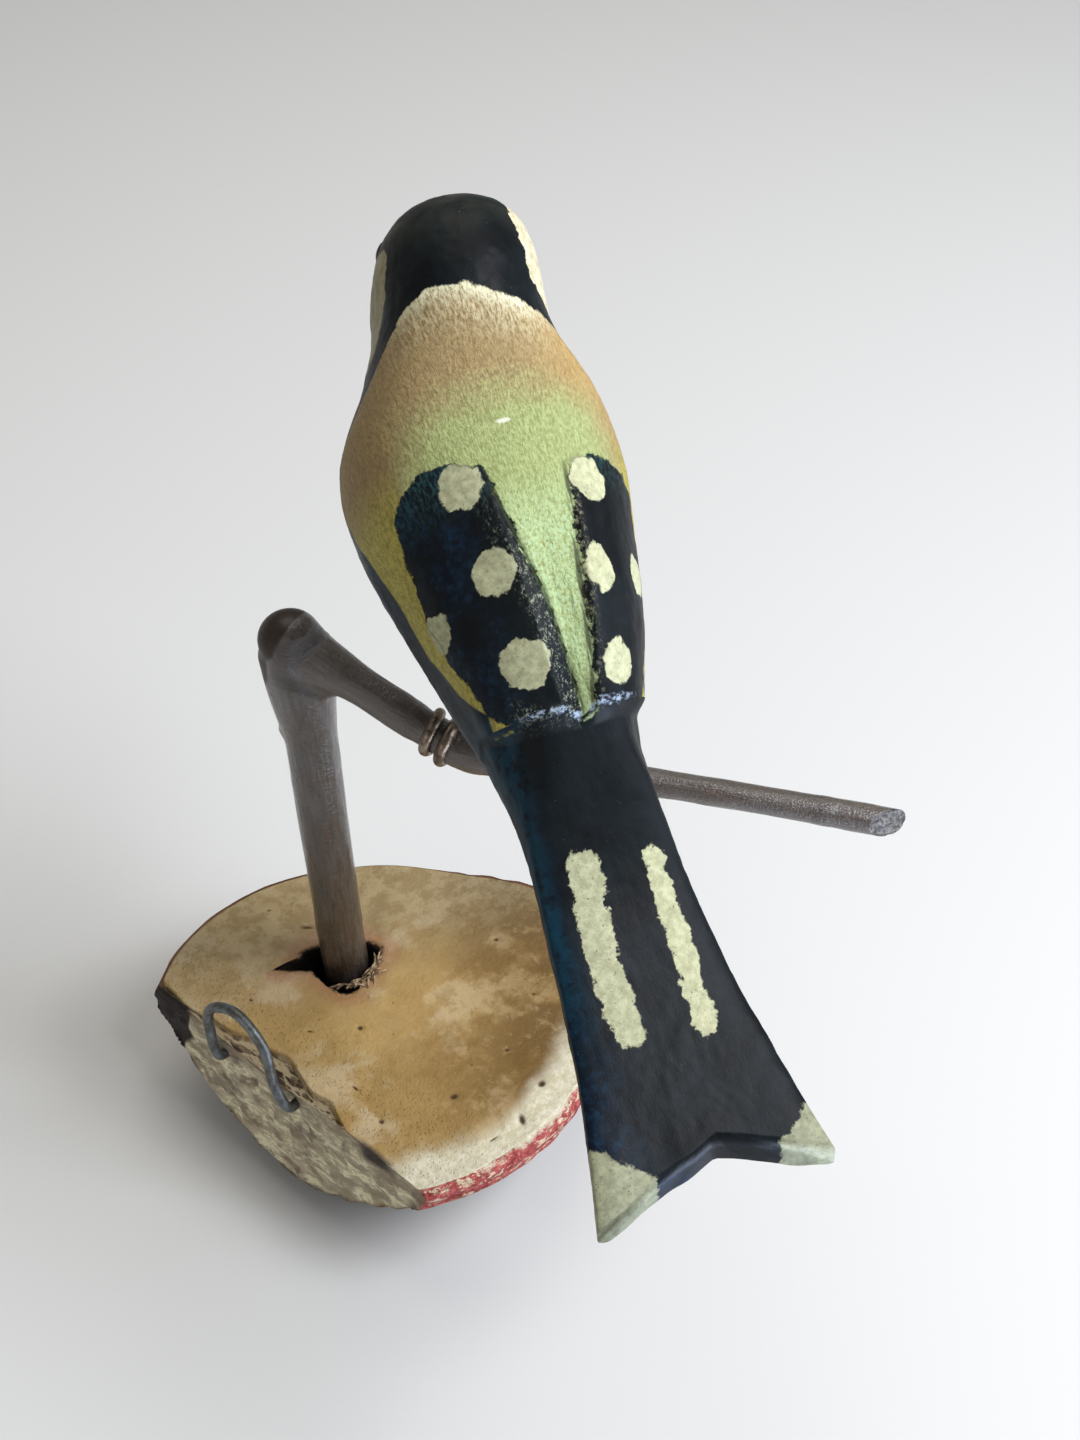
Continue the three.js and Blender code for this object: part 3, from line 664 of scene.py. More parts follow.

# Cream marks, dry-brushed, a little black showing through; those on the left painted duller as
# shade
mottle = paint.noise(0.9, 5.0, 0.7).step(0.3, 0.7)
tips_share = inside("tips", 0.2, 0.9)
# painted shade: darker cream on the left than on the right
cream = paint.mix(across_in.step(-7.0, 5.0), paint.mix(mottle, "#87886a", "#a9aa8a"),
                  paint.mix(mottle, "#989978", "#b8b995"))
cream = paint.mix(tips_share, cream, paint.mix(mottle, "#73755e", "#939579"))
cream_share = inside("spots", 0.14, 0.8) | inside("bars", 0.14, 0.95) | tips_share
worn = paint.noise(2.4, 5.0, 0.8).step(0.34, 0.4)
# painted shade: the left cheek grey-tan, the right one near white
cheek_white_left_shaded = paint.mix(across_in.step(-4.0, 4.0), paint.mix(mottle, "#716c50", "#8f886a"),
                         paint.mix(mottle, "#aaa280", "#d6cdae"))

# Flecks and scratches of pale paint along the carved edges, a dark scribed line, painted shade on
# the right wall of the wedge and a painted highlight along the ledge
chips = paint.noise(2.1, 6.0, 0.85, stretch=(1.0, 0.6, 0.6)).step(0.53, 0.6)
inner_zone = width_in.step(10.0, 6.0) * along_in.step(57.0, 62.0) * along_in.step(91.0, 88.0)
worn_left = abs(paint.field("wing_left") + 1.4).step(2.3, 0.6) * chips * inner_zone
worn_left = worn_left * across_in.step(0.5, -0.5) * along_in.step(58.0, 80.0) * 0.6
worn_right = abs(paint.field("wing_right") + 0.4).step(1.0, 0.2) * chips * inner_zone * 0.35
line_left = abs(paint.field("wing_left")).step(0.34, 0.14) * inner_zone * 0.75
# painted shade on the inner wall of the right wing beside the wedge
right_wall_shade = abs(paint.field("wing_right") - 0.35).step(0.45, 0.15) * inner_zone
right_wall_shade = right_wall_shade * across_in.step(0.0, 1.0) * streak.step(0.36, 0.5) * 0.8
# painted highlight: a broken pale blue line along the wing tips' ledge
ledge_highlight = abs(paint.field("ledge") + ragged * 1.6 + 0.1).step(0.6, 0.1) * width_in.step(9.5, 6.0)
ledge_highlight = ledge_highlight * paint.noise(1.1, 5.0, 0.8).step(0.47, 0.56) * 0.85
skin_colour = paint.layers(
    body_colour,
    (share, black),
    (cream_share * worn, cream),
    (inside("cheek", 0.14, 0.8), cheek_white_left_shaded),
    (inside("fleck", 0.1, 0.3, 0.12), "#cfcfba"),
    (worn_left, "#b1b99f"), (worn_right, "#a8a888"),
    (line_left, "#262f1c"), (right_wall_shade, "#2a2c1a"), (ledge_highlight, "#97a6b6"),
    # pale specks: partly flecks of paint, partly painted glints
    (paint.noise(1.9, 4.0, 0.8).step(0.725, 0.75) * 0.5, "#b9bdb0"),
    (along_in.step(10.5, 8.5), "#232220"),                    # the beak
    (paint.field("eye").step(1.2, 1.05), "#050505"))

gloss = 0.56 - share * 0.13 + (stipple - 0.5) * 0.2
roughness = gloss - paint.field("eye").step(1.2, 1.0) * 0.3
brushing = (brushed * 0.7 + stipple * 0.8 + cream_share * 0.25) * (1.0 - share * 0.9)
brushing = brushing + grain * share * 0.06
black_dull = 0.2 - share * 0.11
bird.data.materials.append(paint.finish(skin_colour, roughness, paint.bump(brushing, 0.26),
                                        Specular_IOR_Level=black_dull))
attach(bird, "root")
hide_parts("bird")

# %% [markdown]
# The twig is two bark-covered limbs that meet at a knuckle. Both are swept
# tubes that are melted together on a fine voxel grid; the bark's wrinkles are
# then pressed in along each limb.

# %% Branch paths
STEM_SOCKET = 10.0
STEM_RADII = (3.8, 4.0)
STEM_BOW = 0.25
STUB_RADIUS, GRIP_RADIUS, END_RADIUS = 4.3, 2.8, 2.1
STUB_LENGTH = 3.6
BEND_EASE = 3.5
PERCH_SAG = 0.6
FOOT_SHARE, FOOT_REACH = 0.355, 0.055
GRIP_SHARE, THIN_SHARE = 0.18, 0.7
STUB_ROUNDING = 0.022             # share of the perch over which its cut end is rounded
BARK_BITE = 0.6
BARK_PRESSED = 0.22               # what shows of it
END_CUT_TURN = math.radians(52)   # the free end is cut off slantwise
FIRST_SLOPE = (PERCH_BEND - KNUCKLE) / np.linalg.norm(PERCH_BEND - KNUCKLE)
RUN_SLOPE = (PERCH_END - PERCH_BEND) / np.linalg.norm(PERCH_END - PERCH_BEND)
stem_path = even_path([
    STEM_FOOT + [0.6, 0, -STEM_SOCKET], STEM_FOOT + [0.6, 0, 0], STEM_FOOT + [0.3, 0, 8],
    STEM_FOOT + 0.42 * (KNUCKLE - STEM_FOOT) + [STEM_BOW, 0, 0],
    STEM_FOOT + 0.8 * (KNUCKLE - STEM_FOOT) + [STEM_BOW * 0.8, 0, 0], KNUCKLE,
], 300)
perch_path = even_path([
    KNUCKLE - STUB_LENGTH * FIRST_SLOPE, KNUCKLE, KNUCKLE + 0.45 * (PERCH_BEND - KNUCKLE),
    PERCH_BEND - BEND_EASE * FIRST_SLOPE,
    PERCH_BEND + BEND_EASE * 0.6 * RUN_SLOPE - [0, 0, PERCH_SAG],
    PERCH_BEND + 0.35 * (PERCH_END - PERCH_BEND),
    PERCH_BEND + 0.68 * (PERCH_END - PERCH_BEND) + [0, 0, PERCH_SAG / 2], PERCH_END,
], 360)


def perch_radius(share, bite=BARK_BITE):
    """Thickness of the perch, with the bark pressed in under the leg wires."""
    grip = STUB_RADIUS + (GRIP_RADIUS - STUB_RADIUS) * smooth(share, 0, GRIP_SHARE)
    whole = grip + (END_RADIUS - grip) * smooth(share, FOOT_SHARE, THIN_SHARE)
    off = np.abs(np.abs(share - FOOT_SHARE) - FOOT_REACH)
    whole = whole - bite * (1 - smooth(off, FOOT_REACH * 0.62, FOOT_REACH * 0.85))
    from_end = np.clip(share / STUB_ROUNDING, 0, 1)
    return whole * (0.68 + 0.32 * np.sqrt(np.maximum(0, 1 - (1 - from_end) ** 2)))


def ellipsoid(centre, radii, count=24):
    """Points and faces of a small rounded lump."""
    rise = np.linspace(0.05, np.pi - 0.05, count)
    path = np.stack([0 * rise, 0 * rise, -np.cos(rise)], -1)
    points, faces = tube(path, np.sin(rise), count)
    return points * radii + centre, faces


def web(route, radii):
    """Points and faces of a tube that fills the crook between the two limbs."""
    return tube(even_path(route, 80), np.linspace(*radii, 80), 40)


SWELL_UNDER_KNUCKLE = 0.9
MELT_GRID = 0.27
share = np.linspace(0, 1, len(stem_path))
stem_radius = STEM_RADII[0] + (STEM_RADII[1] - STEM_RADII[0]) * share
branch = make_mesh("branch_bark", *joined([
    tube(stem_path, stem_radius + SWELL_UNDER_KNUCKLE * smooth(share, 0.76, 0.94), 48),
    tube(perch_path, perch_radius(np.linspace(0, 1, len(perch_path)), BARK_PRESSED), 48),
    ellipsoid(KNUCKLE - 1.1 * FIRST_SLOPE + [0, 0, 0.2], (4.7, 4.6, 4.4)),
    web([stem_path[240], stem_path[268] + [1.3, -1.4, 1.2], KNUCKLE + 9 * FIRST_SLOPE], (2.9, 2.3)),
    web([KNUCKLE - 2.0 * FIRST_SLOPE - [0, 0, 2.0], stem_path[262] + [-1.2, 0.6, 0],
         stem_path[226]], (4.3, 3.4)),
    ellipsoid(stem_path[238] + [-2.9, 1.0, 0], (1.7, 1.7, 2.0)),       # a bud
]))
remesh = branch.modifiers.new("melt", "REMESH")
remesh.mode = "VOXEL"
remesh.voxel_size = MELT_GRID / 1000
relax = branch.modifiers.new("relax", "SMOOTH")
relax.iterations = 60
relax.factor = 0.6
depsgraph = bpy.context.evaluated_depsgraph_get()
branch.data = bpy.data.meshes.new_from_object(branch.evaluated_get(depsgraph))
branch.modifiers.clear()
place = vertices(branch.data)
print("branch", len(branch.data.polygons), "faces")

# %% Bark relief
GROOVE_RELIEF, SWELL_RELIEF, KNOT_RELIEF = 0.07, 0.16, 0.16
END_ROUGHNESS, END_SET_BACK = 0.3, 0.2


def along_path(place, path):
    """For each point: distance along the path, distance from it and direction out of it."""
    tangent, side, over = path_frames(path)
    length = np.r_[0, np.cumsum(np.linalg.norm(np.diff(path, axis=0), axis=1))]
    nearest = np.empty(len(place), int)
    for start in range(0, len(place), 4000):
        block = place[start:start + 4000]
        gap = ((block[:, None] - path[None]) ** 2).sum(-1)
        nearest[start:start + 4000] = gap.argmin(1)
    offset = place - path[nearest]
    offset -= tangent[nearest] * (offset * tangent[nearest]).sum(1, keepdims=True)
    local = np.stack([(offset * side[nearest]).sum(1), (offset * over[nearest]).sum(1)], -1)
    return length[nearest], local, offset / (np.linalg.norm(offset, axis=1, keepdims=True) + 1e-9)


stem_run, stem_local, stem_out = along_path(place, stem_path)
perch_run, perch_local, perch_out = along_path(place, perch_path)
stem_gap = np.linalg.norm(stem_local, axis=1) / 3.7
perch_share = perch_run / perch_run.max()
perch_gap = np.linalg.norm(perch_local, axis=1) / perch_radius(perch_share)
on_perch = smooth(stem_gap - perch_gap, -0.35, 0.35)
bark_out = stem_out * (1 - on_perch[:, None]) + perch_out * on_perch[:, None]
bark_place = np.column_stack([stem_local, stem_run]) * (1 - on_perch[:, None])
bark_place += np.column_stack([perch_local + 20, perch_run + 40]) * on_perch[:, None]
grooves = lumps(bark_place * [1, 1, 0.13], 1.25, 11)
grooves += 0.6 * lumps(bark_place * [1, 1, 0.2], 0.6, 12)
swell = lumps(bark_place * [1, 1, 0.5], 4.5, 13)
knots = lumps(bark_place * [0.5, 0.5, 1], 3.2, 14)
from_cut = (place - (KNUCKLE - STUB_LENGTH * FIRST_SLOPE)) @ FIRST_SLOPE
from_cut += 0.5 * lumps(place, 2.0, 16)
cut = 1 - smooth(from_cut, 1.9, 2.5)
facing = direction(VIEW_AZIMUTH, VIEW_ELEVATION - 25)
facing = facing - RUN_SLOPE * (facing @ RUN_SLOPE)
facing = facing / np.linalg.norm(facing)
end_facing = math.cos(END_CUT_TURN) * RUN_SLOPE + math.sin(END_CUT_TURN) * facing
end_middle = PERCH_END - RUN_SLOPE * END_RADIUS * math.tan(END_CUT_TURN)
past_end = (place - end_middle) @ end_facing
place = place - RUN_SLOPE * (np.maximum(0, past_end) / math.cos(END_CUT_TURN))[:, None]
end_cut = smooth(past_end, -0.12, 0.1)
bark = (1 - cut) * (1 - end_cut)
height = GROOVE_RELIEF * grooves + SWELL_RELIEF * swell + KNOT_RELIEF * np.maximum(0, knots) ** 2
height *= bark
in_socket = smooth(place[:, 2], BASE_HEIGHT - 1.0, BASE_HEIGHT + 1.5) + on_perch
height *= np.clip(in_socket, 0, 1) * smooth(from_cut, 1.5, 9)
place = place + bark_out * height[:, None]
rough_end = end_cut * (END_ROUGHNESS * lumps(place, 0.8, 15) - END_SET_BACK)
place = place + end_facing * rough_end[:, None]
branch.data.vertices.foreach_set("co", (place / 1000).astype(np.float32).ravel())
branch.data.update()
dress_mesh(branch.data, {"cut": cut, "end_cut": end_cut, "bark": bark_place / 1000,
                         "on_perch": on_perch})

# %% Branch look
# Smooth twig bark under a coat of dark varnish, with silvery grey patches that are partly the
# bark's tone and partly a painted sheen; the perch painted lighter than the stem for its lit look
twig = Look("varnished bark")
on_bark = twig.field("bark", out="Vector")
streaks = twig.noise(1.9, 5.0, 0.7, stretch=(1.0, 1.0, 0.09), place=on_bark)
flakes = twig.noise(0.55, 4.0, 0.6, stretch=(1.0, 1.0, 0.3), place=on_bark)
cross = twig.noise(1.0, 4.0, 0.7, stretch=(1.0, 1.0, 1.6), place=on_bark)
cut_in, end_in = twig.field("cut"), twig.field("end_cut")
bark_colour = twig.layers(
    twig.mix(streaks.step(0.34, 0.68), "#221b15", "#433930"),
    (flakes.step(0.48, 0.66) * 0.35, "#4f4a48"),
    (flakes.step(0.45, 0.3) * 0.7, "#402a1c"),
    # painted light: the perch lighter than the stem
    (twig.field("on_perch") * 0.3, "#5b5147"),
    # silvery patches: partly grey bark, partly painted sheen
    (cross.step(0.62, 0.7) * streaks.step(0.45, 0.6) * 0.5, "#7f8087"),
    (cut_in * 0.85, "#2b1f18"),
    (end_in, twig.mix(twig.noise(1.6, 5.0, 0.7).step(0.4, 0.6), "#2d2925", "#736f69")))
bark_height = (streaks + flakes * 0.5 + cross * 0.9) * (1.0 - cut_in * 0.8)
varnish = 1.0 - cut_in * 0.85 - end_in * 0.7
branch.data.materials.append(twig.finish(
    bark_colour, 0.3 + streaks * 0.3, twig.bump(bark_height, 0.3), Specular_IOR_Level=0.2,
    Coat_Weight=varnish, Coat_Roughness=0.17, Coat_IOR=1.6,
    Coat_Normal=twig.bump(bark_height, 0.13)))
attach(branch, "root")
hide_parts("branch")

# %% [markdown]
# The fungus lies with its pores up. One grid runs from the floor of the stem's
# hole up its ragged wall, over the pores to the rim, down the rim band and the
# rounded cap, to the flat spot it rests on. Its radius stops at the sawn face.

# %% Fungus shape
FUNGUS_WIDTH = 70.0
FUNGUS_LEAN = np.array([2.5, 3.0])
RIM_RADII = FUNGUS_WIDTH * np.array([
    0.491, 0.489, 0.446, 0.483, 0.563, 0.606, 0.586, 0.556, 0.490, 0.451, 0.437, 0.446])
BAND_HEIGHT = 5.5
BAND_BULGE = 0.7
RIM_WAVE = 0.5
SAW_TILT = math.radians(10)
SAW_TURNS = (153.0, 255.6)        # degrees from +X, ends of the sawn edge
HOLE_RADIUS = 4.85
SOCKET_DEPTH = 10.2


def rim_radius(angle):
    """Radius of the fungus at an angle, a closed smooth curve."""
    turn = (angle / (2 * np.pi) * len(RIM_RADII)) % len(RIM_RADII)
    wrapped = np.r_[RIM_RADII[-3:], RIM_RADII, RIM_RADII[:3]]
    return catmull(wrapped[:, None], turn + 3)[..., 0]


def on_rim(turn):
    """Point of the rim at a turn in degrees from +X."""
    a = math.radians(turn)
    return np.append(FUNGUS_CENTRE, BASE_HEIGHT) + swing(float(rim_radius(np.array(a))), turn, 0)


SAW_LEFT, SAW_RIGHT = on_rim(SAW_TURNS[0]), on_rim(SAW_TURNS[1])
saw_along = (SAW_RIGHT - SAW_LEFT) / np.linalg.norm(SAW_RIGHT - SAW_LEFT)
saw_level = np.array([saw_along[1], -saw_along[0], 0])
saw_out = saw_level * math.cos(SAW_TILT) + [0, 0, math.sin(SAW_TILT)]
saw_up = np.cross(saw_out, saw_along)
saw_up /= np.linalg.norm(saw_up)


def on_saw(along_edge, up, out_of):
    """Point by distance along the sawn edge, up from it and out of the face."""
    return SAW_LEFT + along_edge * saw_along + up * saw_up + out_of * saw_out


BAND_BOTTOM = BASE_HEIGHT - BAND_HEIGHT
CAP_PROFILE = [                    # share of the rim radius, share of the band's lower edge
    (0.57, 0), (0.63, 0.06), (0.70, 0.19), (0.77, 0.37), (0.84, 0.58), (0.90, 0.76), (0.96, 0.93)]
BAND_PROFILE = [                   # share of the rim radius, height, bulge
    (1.0, BAND_BOTTOM + BAND_HEIGHT * 0.2, BAND_BULGE * 0.5),
    (1.0, BAND_BOTTOM + BAND_HEIGHT * 0.55, BAND_BULGE),
    (1.0, BASE_HEIGHT - 1.0, BAND_BULGE * 0.5), (0.985, BASE_HEIGHT - 0.2, 0)]
PROFILE = [(share, BAND_BOTTOM * rise, 0) for share, rise in CAP_PROFILE] + BAND_PROFILE
FUNGUS_COLUMNS = 440
phi = 2 * np.pi * np.arange(FUNGUS_COLUMNS) / FUNGUS_COLUMNS
ray = np.stack([np.cos(phi), np.sin(phi)], -1)
outer = catmull(PROFILE, np.linspace(0, len(PROFILE) - 1, 96))[::-1]


def fungus_ring(share, height, bulge):
    """One level of the outside, cut off where it passes the sawn face."""
    low = max(0.0, 1 - height / BAND_BOTTOM)
    centre = FUNGUS_CENTRE + FUNGUS_LEAN * low
    radius = rim_radius(phi) * share + bulge
    if height > BASE_HEIGHT - 0.9:
        height = height + RIM_WAVE * share * share * np.sin(5 * phi + 1)
    heights = np.broadcast_to(height, phi.shape)
    probe = np.column_stack([np.broadcast_to(centre, ray.shape), heights])
    gap = -((probe - SAW_LEFT) @ saw_out)
    facing = ray @ saw_out[:2]
    limit = np.where(facing > 1e-3, gap / np.maximum(facing, 1e-3), 1e9)
    sawn = smooth(radius - limit, -0.05, 0.35)
    radius = np.minimum(radius, limit)
    return np.column_stack([centre + ray * radius[:, None], heights]), sawn


rings, sawn = zip(*[fungus_ring(*values) for values in outer])
rings, sawn = np.array(rings), np.array(sawn)
rim = rings[0]
hole = STEM_FOOT + np.column_stack([ray * HOLE_RADIUS, 0 * phi])
ragged_edge = 0.3 * lumps(hole, 1.0, 21) + 0.5 * np.maximum(0, lumps(hole, 3.0, 22))
TEARS = [(168, 8, 5.6), (150, 16, 2.2), (2, 20, 1.9), (262, 34, 2.0)]    # turn, spread, reach
FLAP_TEAR = (262, 34, 1.0)


def tear(turn, spread, reach):
    """How far the hole's edge is torn out round one direction, in degrees."""
    off = (np.degrees(phi) - turn + 180) % 360 - 180
    return reach * np.exp(-((off / spread) ** 2))


tears = sum(tear(*values) for values in TEARS)
hole_edge = hole + np.column_stack([ray * (ragged_edge + tears)[:, None], 0 * phi])
shares = np.linspace(0, 1, 120)
top = hole_edge[None] + (rim - hole_edge)[None] * shares[:-1, None, None]
base_wave = RIM_WAVE * np.sin(5 * phi + 1)[None] * (shares[:-1, None] * 0.97) ** 2
top[..., 2] = BASE_HEIGHT - 0.1 + base_wave
hole_distance = np.linalg.norm(top - hole_edge[None], axis=-1)
flap = tear(*FLAP_TEAR)[None] * (0.5 + 0.5 * lumps(hole, 0.8, 23))[None]
lip = 0.8 * np.exp(-hole_distance / 0.8) - 1.5 * flap * np.exp(-((hole_distance - 0.3) / 0.45) ** 2)
top[..., 2] -= lip
depths = np.linspace(1, 0.08, 12)
wall_rings = [hole + (hole_edge - hole) * (1 - d) ** 2 - [0, 0, SOCKET_DEPTH * d] for d in depths]
floor_rings = [STEM_FOOT + (hole - STEM_FOOT) * s - [0, 0, SOCKET_DEPTH] for s in (0.3, 0.65)]
inner_rings = np.array(floor_rings + wall_rings)
shell = np.concatenate([inner_rings, top, rings])
count_in, count_top = len(inner_rings), len(top)
sawn_all = np.concatenate([np.zeros((count_in + count_top, FUNGUS_COLUMNS)), sawn])
hole_all = np.concatenate([np.full((count_in, FUNGUS_COLUMNS), -1.0), hole_distance,
                           np.full(rings.shape[:2], 30.0)])
flat = shell.reshape(-1, 3)
saw_gap = -((flat - SAW_LEFT) @ saw_out)
from_middle = flat[:, :2] - FUNGUS_CENTRE
rim_gap = rim_radius(np.arctan2(from_middle[:, 1], from_middle[:, 0])) - np.hypot(*from_middle.T)
is_top = np.concatenate([np.zeros(count_in), np.ones(count_top), np.zeros(len(rings))])
is_top = np.repeat(is_top, FUNGUS_COLUMNS)

# %% Fungus relief
# Soft swells and dents on the pores, a torn step behind the sawn edge, torn
# fibres on the sawn face and low growth rings on the cap
FIBRE_COUNT = 26
SWELLS = (0.35, 0.12)              # wide and narrow swells of the pore face
STEP_DROP = 1.1                    # torn step behind the sawn edge
RING_DEPTH = 0.2                   # growth rings on the cap
FLAWS = [                          # place, half length, half width, turn in degrees, depth
    (11.2, -23.6, 1.5, 0.7, 85, 0.5), (5.9, -25.4, 1.3, 0.25, 20, 0.2),
    (16.3, -18.5, 1.0, 0.8, 40, 0.4), (13.3, -10.4, 0.5, 0.45, 0, 0.3),
    (-7.5, 1.7, 0.6, 0.6, 0, 0.35), (-22.7, 12.9, 0.45, 0.4, 0, 0.25),
    (21.1, -1.5, 0.45, 0.4, 0, 0.25), (18.9, 11.0, 0.6, 0.45, 0, 0.3),
    (-15.3, 30.3, 0.4, 0.35, 0, 0.2), (-10.2, 24.5, 1.5, 0.35, 160, 0.35),
    (-11.4, -9.1, 0.9, 0.3, 120, 0.25), (-15.3, 3.7, 0.8, 0.25, 150, 0.2),
    (2.6, -16.1, 0.9, 0.7, 0, 0.25), (-9.3, -16.3, 0.7, 0.6, 0, 0.3),
]
sawn_flat = sawn_all.ravel()
flaw = np.zeros(len(flat))
edge_run = (flat - SAW_LEFT) @ saw_along
crust = 1 - smooth(edge_run + 2 * lumps(flat, 3.0, 39), 6.0, 9.0)
crust *= 1 - smooth(saw_gap, 0.3, 0.9)
scale_run = np.exp(-((edge_run - 49) / 3.6) ** 4)
swell = SWELLS[0] * lumps(flat, 9.0, 31) + SWELLS[1] * lumps(flat, 3.0, 32)
keep_rim = smooth(np.minimum(rim_gap, saw_gap), 0.3, 4.0)
away = smooth(hole_all.ravel(), 0.2, 2.5)
lift = is_top * (swell - 0.25) * keep_rim * away
step_edge = 1.3 + 1.1 * lumps(flat * [1, 1, 0], 5.0, 33) + 2.4 * np.exp(-((edge_run - 24) / 9) ** 2)
step_edge = step_edge - 3 * smooth(edge_run, 40, 48)
torn = is_top * (1 - smooth(saw_gap, step_edge - 0.4, step_edge + 0.15))
lift -= STEP_DROP * torn * smooth(saw_gap, -0.2, 0.6)
for x, y, long, wide, turned, deep in FLAWS:
    c, s = math.cos(math.radians(turned)), math.sin(math.radians(turned))
    u = ((flat[:, 0] - x) * c + (flat[:, 1] - y) * s) / long
    v = ((flat[:, 1] - y) * c - (flat[:, 0] - x) * s) / wide
    near_flaw = np.exp(-(u * u + v * v)) * is_top
    lift -= deep * near_flaw
    flaw = np.maximum(flaw, near_flaw)
fibres = lumps(flat * [1, 1, 0.35], 1.1, 34) + 0.6 * lumps(flat * [1, 1, 0.5], 0.5, 35)
face_in = 0.35 + 0.2 * fibres + 0.5 * lumps(flat, 3.6, 36) + 0.3 * lumps(flat, 1.8, 42)
face_in = np.maximum(sawn_flat * face_in, 0) * smooth(flat[:, 2], 0.2, 2.0)
cap_side = (1 - is_top) * (1 - sawn_flat) * smooth(flat[:, 2], 0.5, 3) * (hole_all.ravel() > 20)
growth = RING_DEPTH * np.sin(flat[:, 2] * 1.9 + 0.8 * lumps(flat, 7, 37))
rings_in = cap_side * (0.25 + growth + 0.25 * lumps(flat, 2.5, 38))
outwards = flat - np.append(FUNGUS_CENTRE, 0)
outwards[:, 2] = 0
outwards /= np.linalg.norm(outwards, axis=1, keepdims=True) + 1e-9
flat = flat + np.array([0, 0, 1.0]) * lift[:, None]
flat = flat - saw_level * face_in[:, None]
flat = flat - outwards * np.clip(rings_in, 0, 1)[:, None]
flat[:, 2] = np.maximum(flat[:, 2], 0)
middle_top = STEM_FOOT - [0, 0, SOCKET_DEPTH]
middle_bottom = np.append(FUNGUS_CENTRE + FUNGUS_LEAN, 0)
count = len(flat)
faces = grid_faces(len(shell), FUNGUS_COLUMNS)
faces += fan(np.arange(FUNGUS_COLUMNS)[::-1], count)
faces += fan(np.arange(count - FUNGUS_COLUMNS, count), count + 1)
fibre_seed = np.random.default_rng(5)
extra = []
for number in range(FIBRE_COUNT):
    start_turn = fibre_seed.uniform(225, 335)
    start = STEM_FOOT + swing(HOLE_RADIUS + 1.0, start_turn, -0.7)
    lean_turn = start_turn + math.degrees(fibre_seed.uniform(0.9, 2.1)
                                          * (1 if fibre_seed.random() < 0.5 else -1))
    lean = swing(fibre_seed.uniform(1.6, 3.8), lean_turn, 0)
    tip = start + lean + [0, 0, fibre_seed.uniform(0.2, 0.9)]
    path = even_path([start, start + 0.5 * lean + [0, 0, 0.9], tip], 9)
    extra.append(tube(path, np.linspace(0.24, 0.1, 9), 6))
fibre_points, fibre_faces = joined(extra, count + 2)
faces += fibre_faces


def extend(values, inner, low, fibres=0.0):
    """Values of the grid, then of its two middle points and of the torn fibres."""
    return np.r_[values.ravel(), inner, low, np.full(len(fibre_points), fibres)]


shell_points = np.vstack([flat, middle_top, middle_bottom, fibre_points])
base = make_mesh("fungus_pores", shell_points, faces, {
    "sawn": extend(sawn_flat, 0, 0), "hole": extend(hole_all, -1, 30, 30),
    "torn": extend(torn, 0, 0), "rim": extend(rim_gap, 20, 20, 20), "pores": extend(is_top, 0, 0),
    "saw_gap": extend(saw_gap, 20, 20, 20), "fibre": extend(0 * flaw, 0, 0, 1.0),
    "flaw": extend(flaw, 0, 0), "crust": extend(crust, 0, 0), "scale": extend(scale_run, 0, 0),
})
print("fungus", len(base.data.polygons), "faces")

# %% Fungus look
# Dried bracket fungus: ochre pores in wavy rows, a white growing margin, a red
# belt round the rim, and grey-brown torn flesh where it was sawn
fungus = Look("dried bracket fungus")
wide = fungus.noise(0.045, 3.0, 0.5)
patch = fungus.noise(0.11, 4.0, 0.6)
mid = fungus.noise(0.35, 5.0, 0.7)
speck = fungus.noise(0.9, 4.0, 0.7)
warp = fungus.node("TexNoise", {"Vector": fungus.place, "Scale": 350.0, "Detail": 2.0}, out="Color")
bent = fungus.node("Mix", {"Factor": 0.0006, 4: fungus.place, 5: warp}, out=1, data_type="VECTOR")
pores = fungus.cells(1.9, (1.0, 0.75, 1.0), bent)
x_mm, y_mm, z_mm = (fungus.node("SeparateXYZ", {"Vector": fungus.place}, out=axis) * 1000.0
                    for axis in "XYZ")
rim_in, hole_in, saw_in = fungus.field("rim"), fungus.field("hole"), fungus.field("saw_gap")
pores_in, torn_in = fungus.field("pores"), fungus.field("torn")

# Pores, from their ground tone up to the stain round the hole, whose mouth is painted near black as
# shade
near_saw = saw_in.step(20.0, 5.0)
near_right = (x_mm * 0.35 - y_mm).step(12.0, 24.0)
brown_side = (x_mm - y_mm * 0.3).step(-2.0, 24.0)
ochre_side = (1.0 - brown_side) * 0.5
rim_wobble = (patch - 0.5) * 9.0 + (speck - 0.5) * 2.0
margin = (rim_in + rim_wobble).step(8.5, 4.0)
margin_colour = fungus.mix(speck.step(0.3, 0.7), "#b8b090", "#d6d0ba")
from_hole = hole_in + (speck - 0.5) * 2.4
pore_colour = fungus.layers(
    fungus.mix(wide.step(0.38, 0.62) * 0.5 + ochre_side, "#7a5c2c", "#ae915a"),
    (brown_side * (0.4 + patch.step(0.62, 0.46) * 0.55), "#5f4721"),
    (patch.step(0.5, 0.64) * (0.15 + ochre_side), "#b8a684"),
    (mid.step(0.5, 0.62) * 0.5 * (0.35 + brown_side), "#6f5428"),
    (mid.step(0.46, 0.34) * 0.35, "#ab9467"),
    (pores.step(0.4, 0.1) * near_saw * 0.05, "#5b421d"),
    (fungus.noise(0.5, 3.0, 0.6).step(0.72, 0.76) * 0.6, "#4a3212"),
    (y_mm.step(4.0, 26.0) * 0.7, fungus.mix(mid.step(0.4, 0.6), "#675a41", "#897e62")),
    (margin * near_right * 0.95, margin_colour),
    (rim_in.step(1.0, 0.2) * near_right.step(0.5, 0.1) * 0.55, "#5b4526"),
    # painted shade: the dents darkened as hollows
    (fungus.field("flaw").step(0.35, 0.9), "#3f2b14"),
    (from_hole.step(5.0, 1.0) * 0.5, "#8f6149"),
    # painted shade: near black at the mouth of the stem's hole
    (from_hole.step(0.6, 0.0), "#1d140c"))
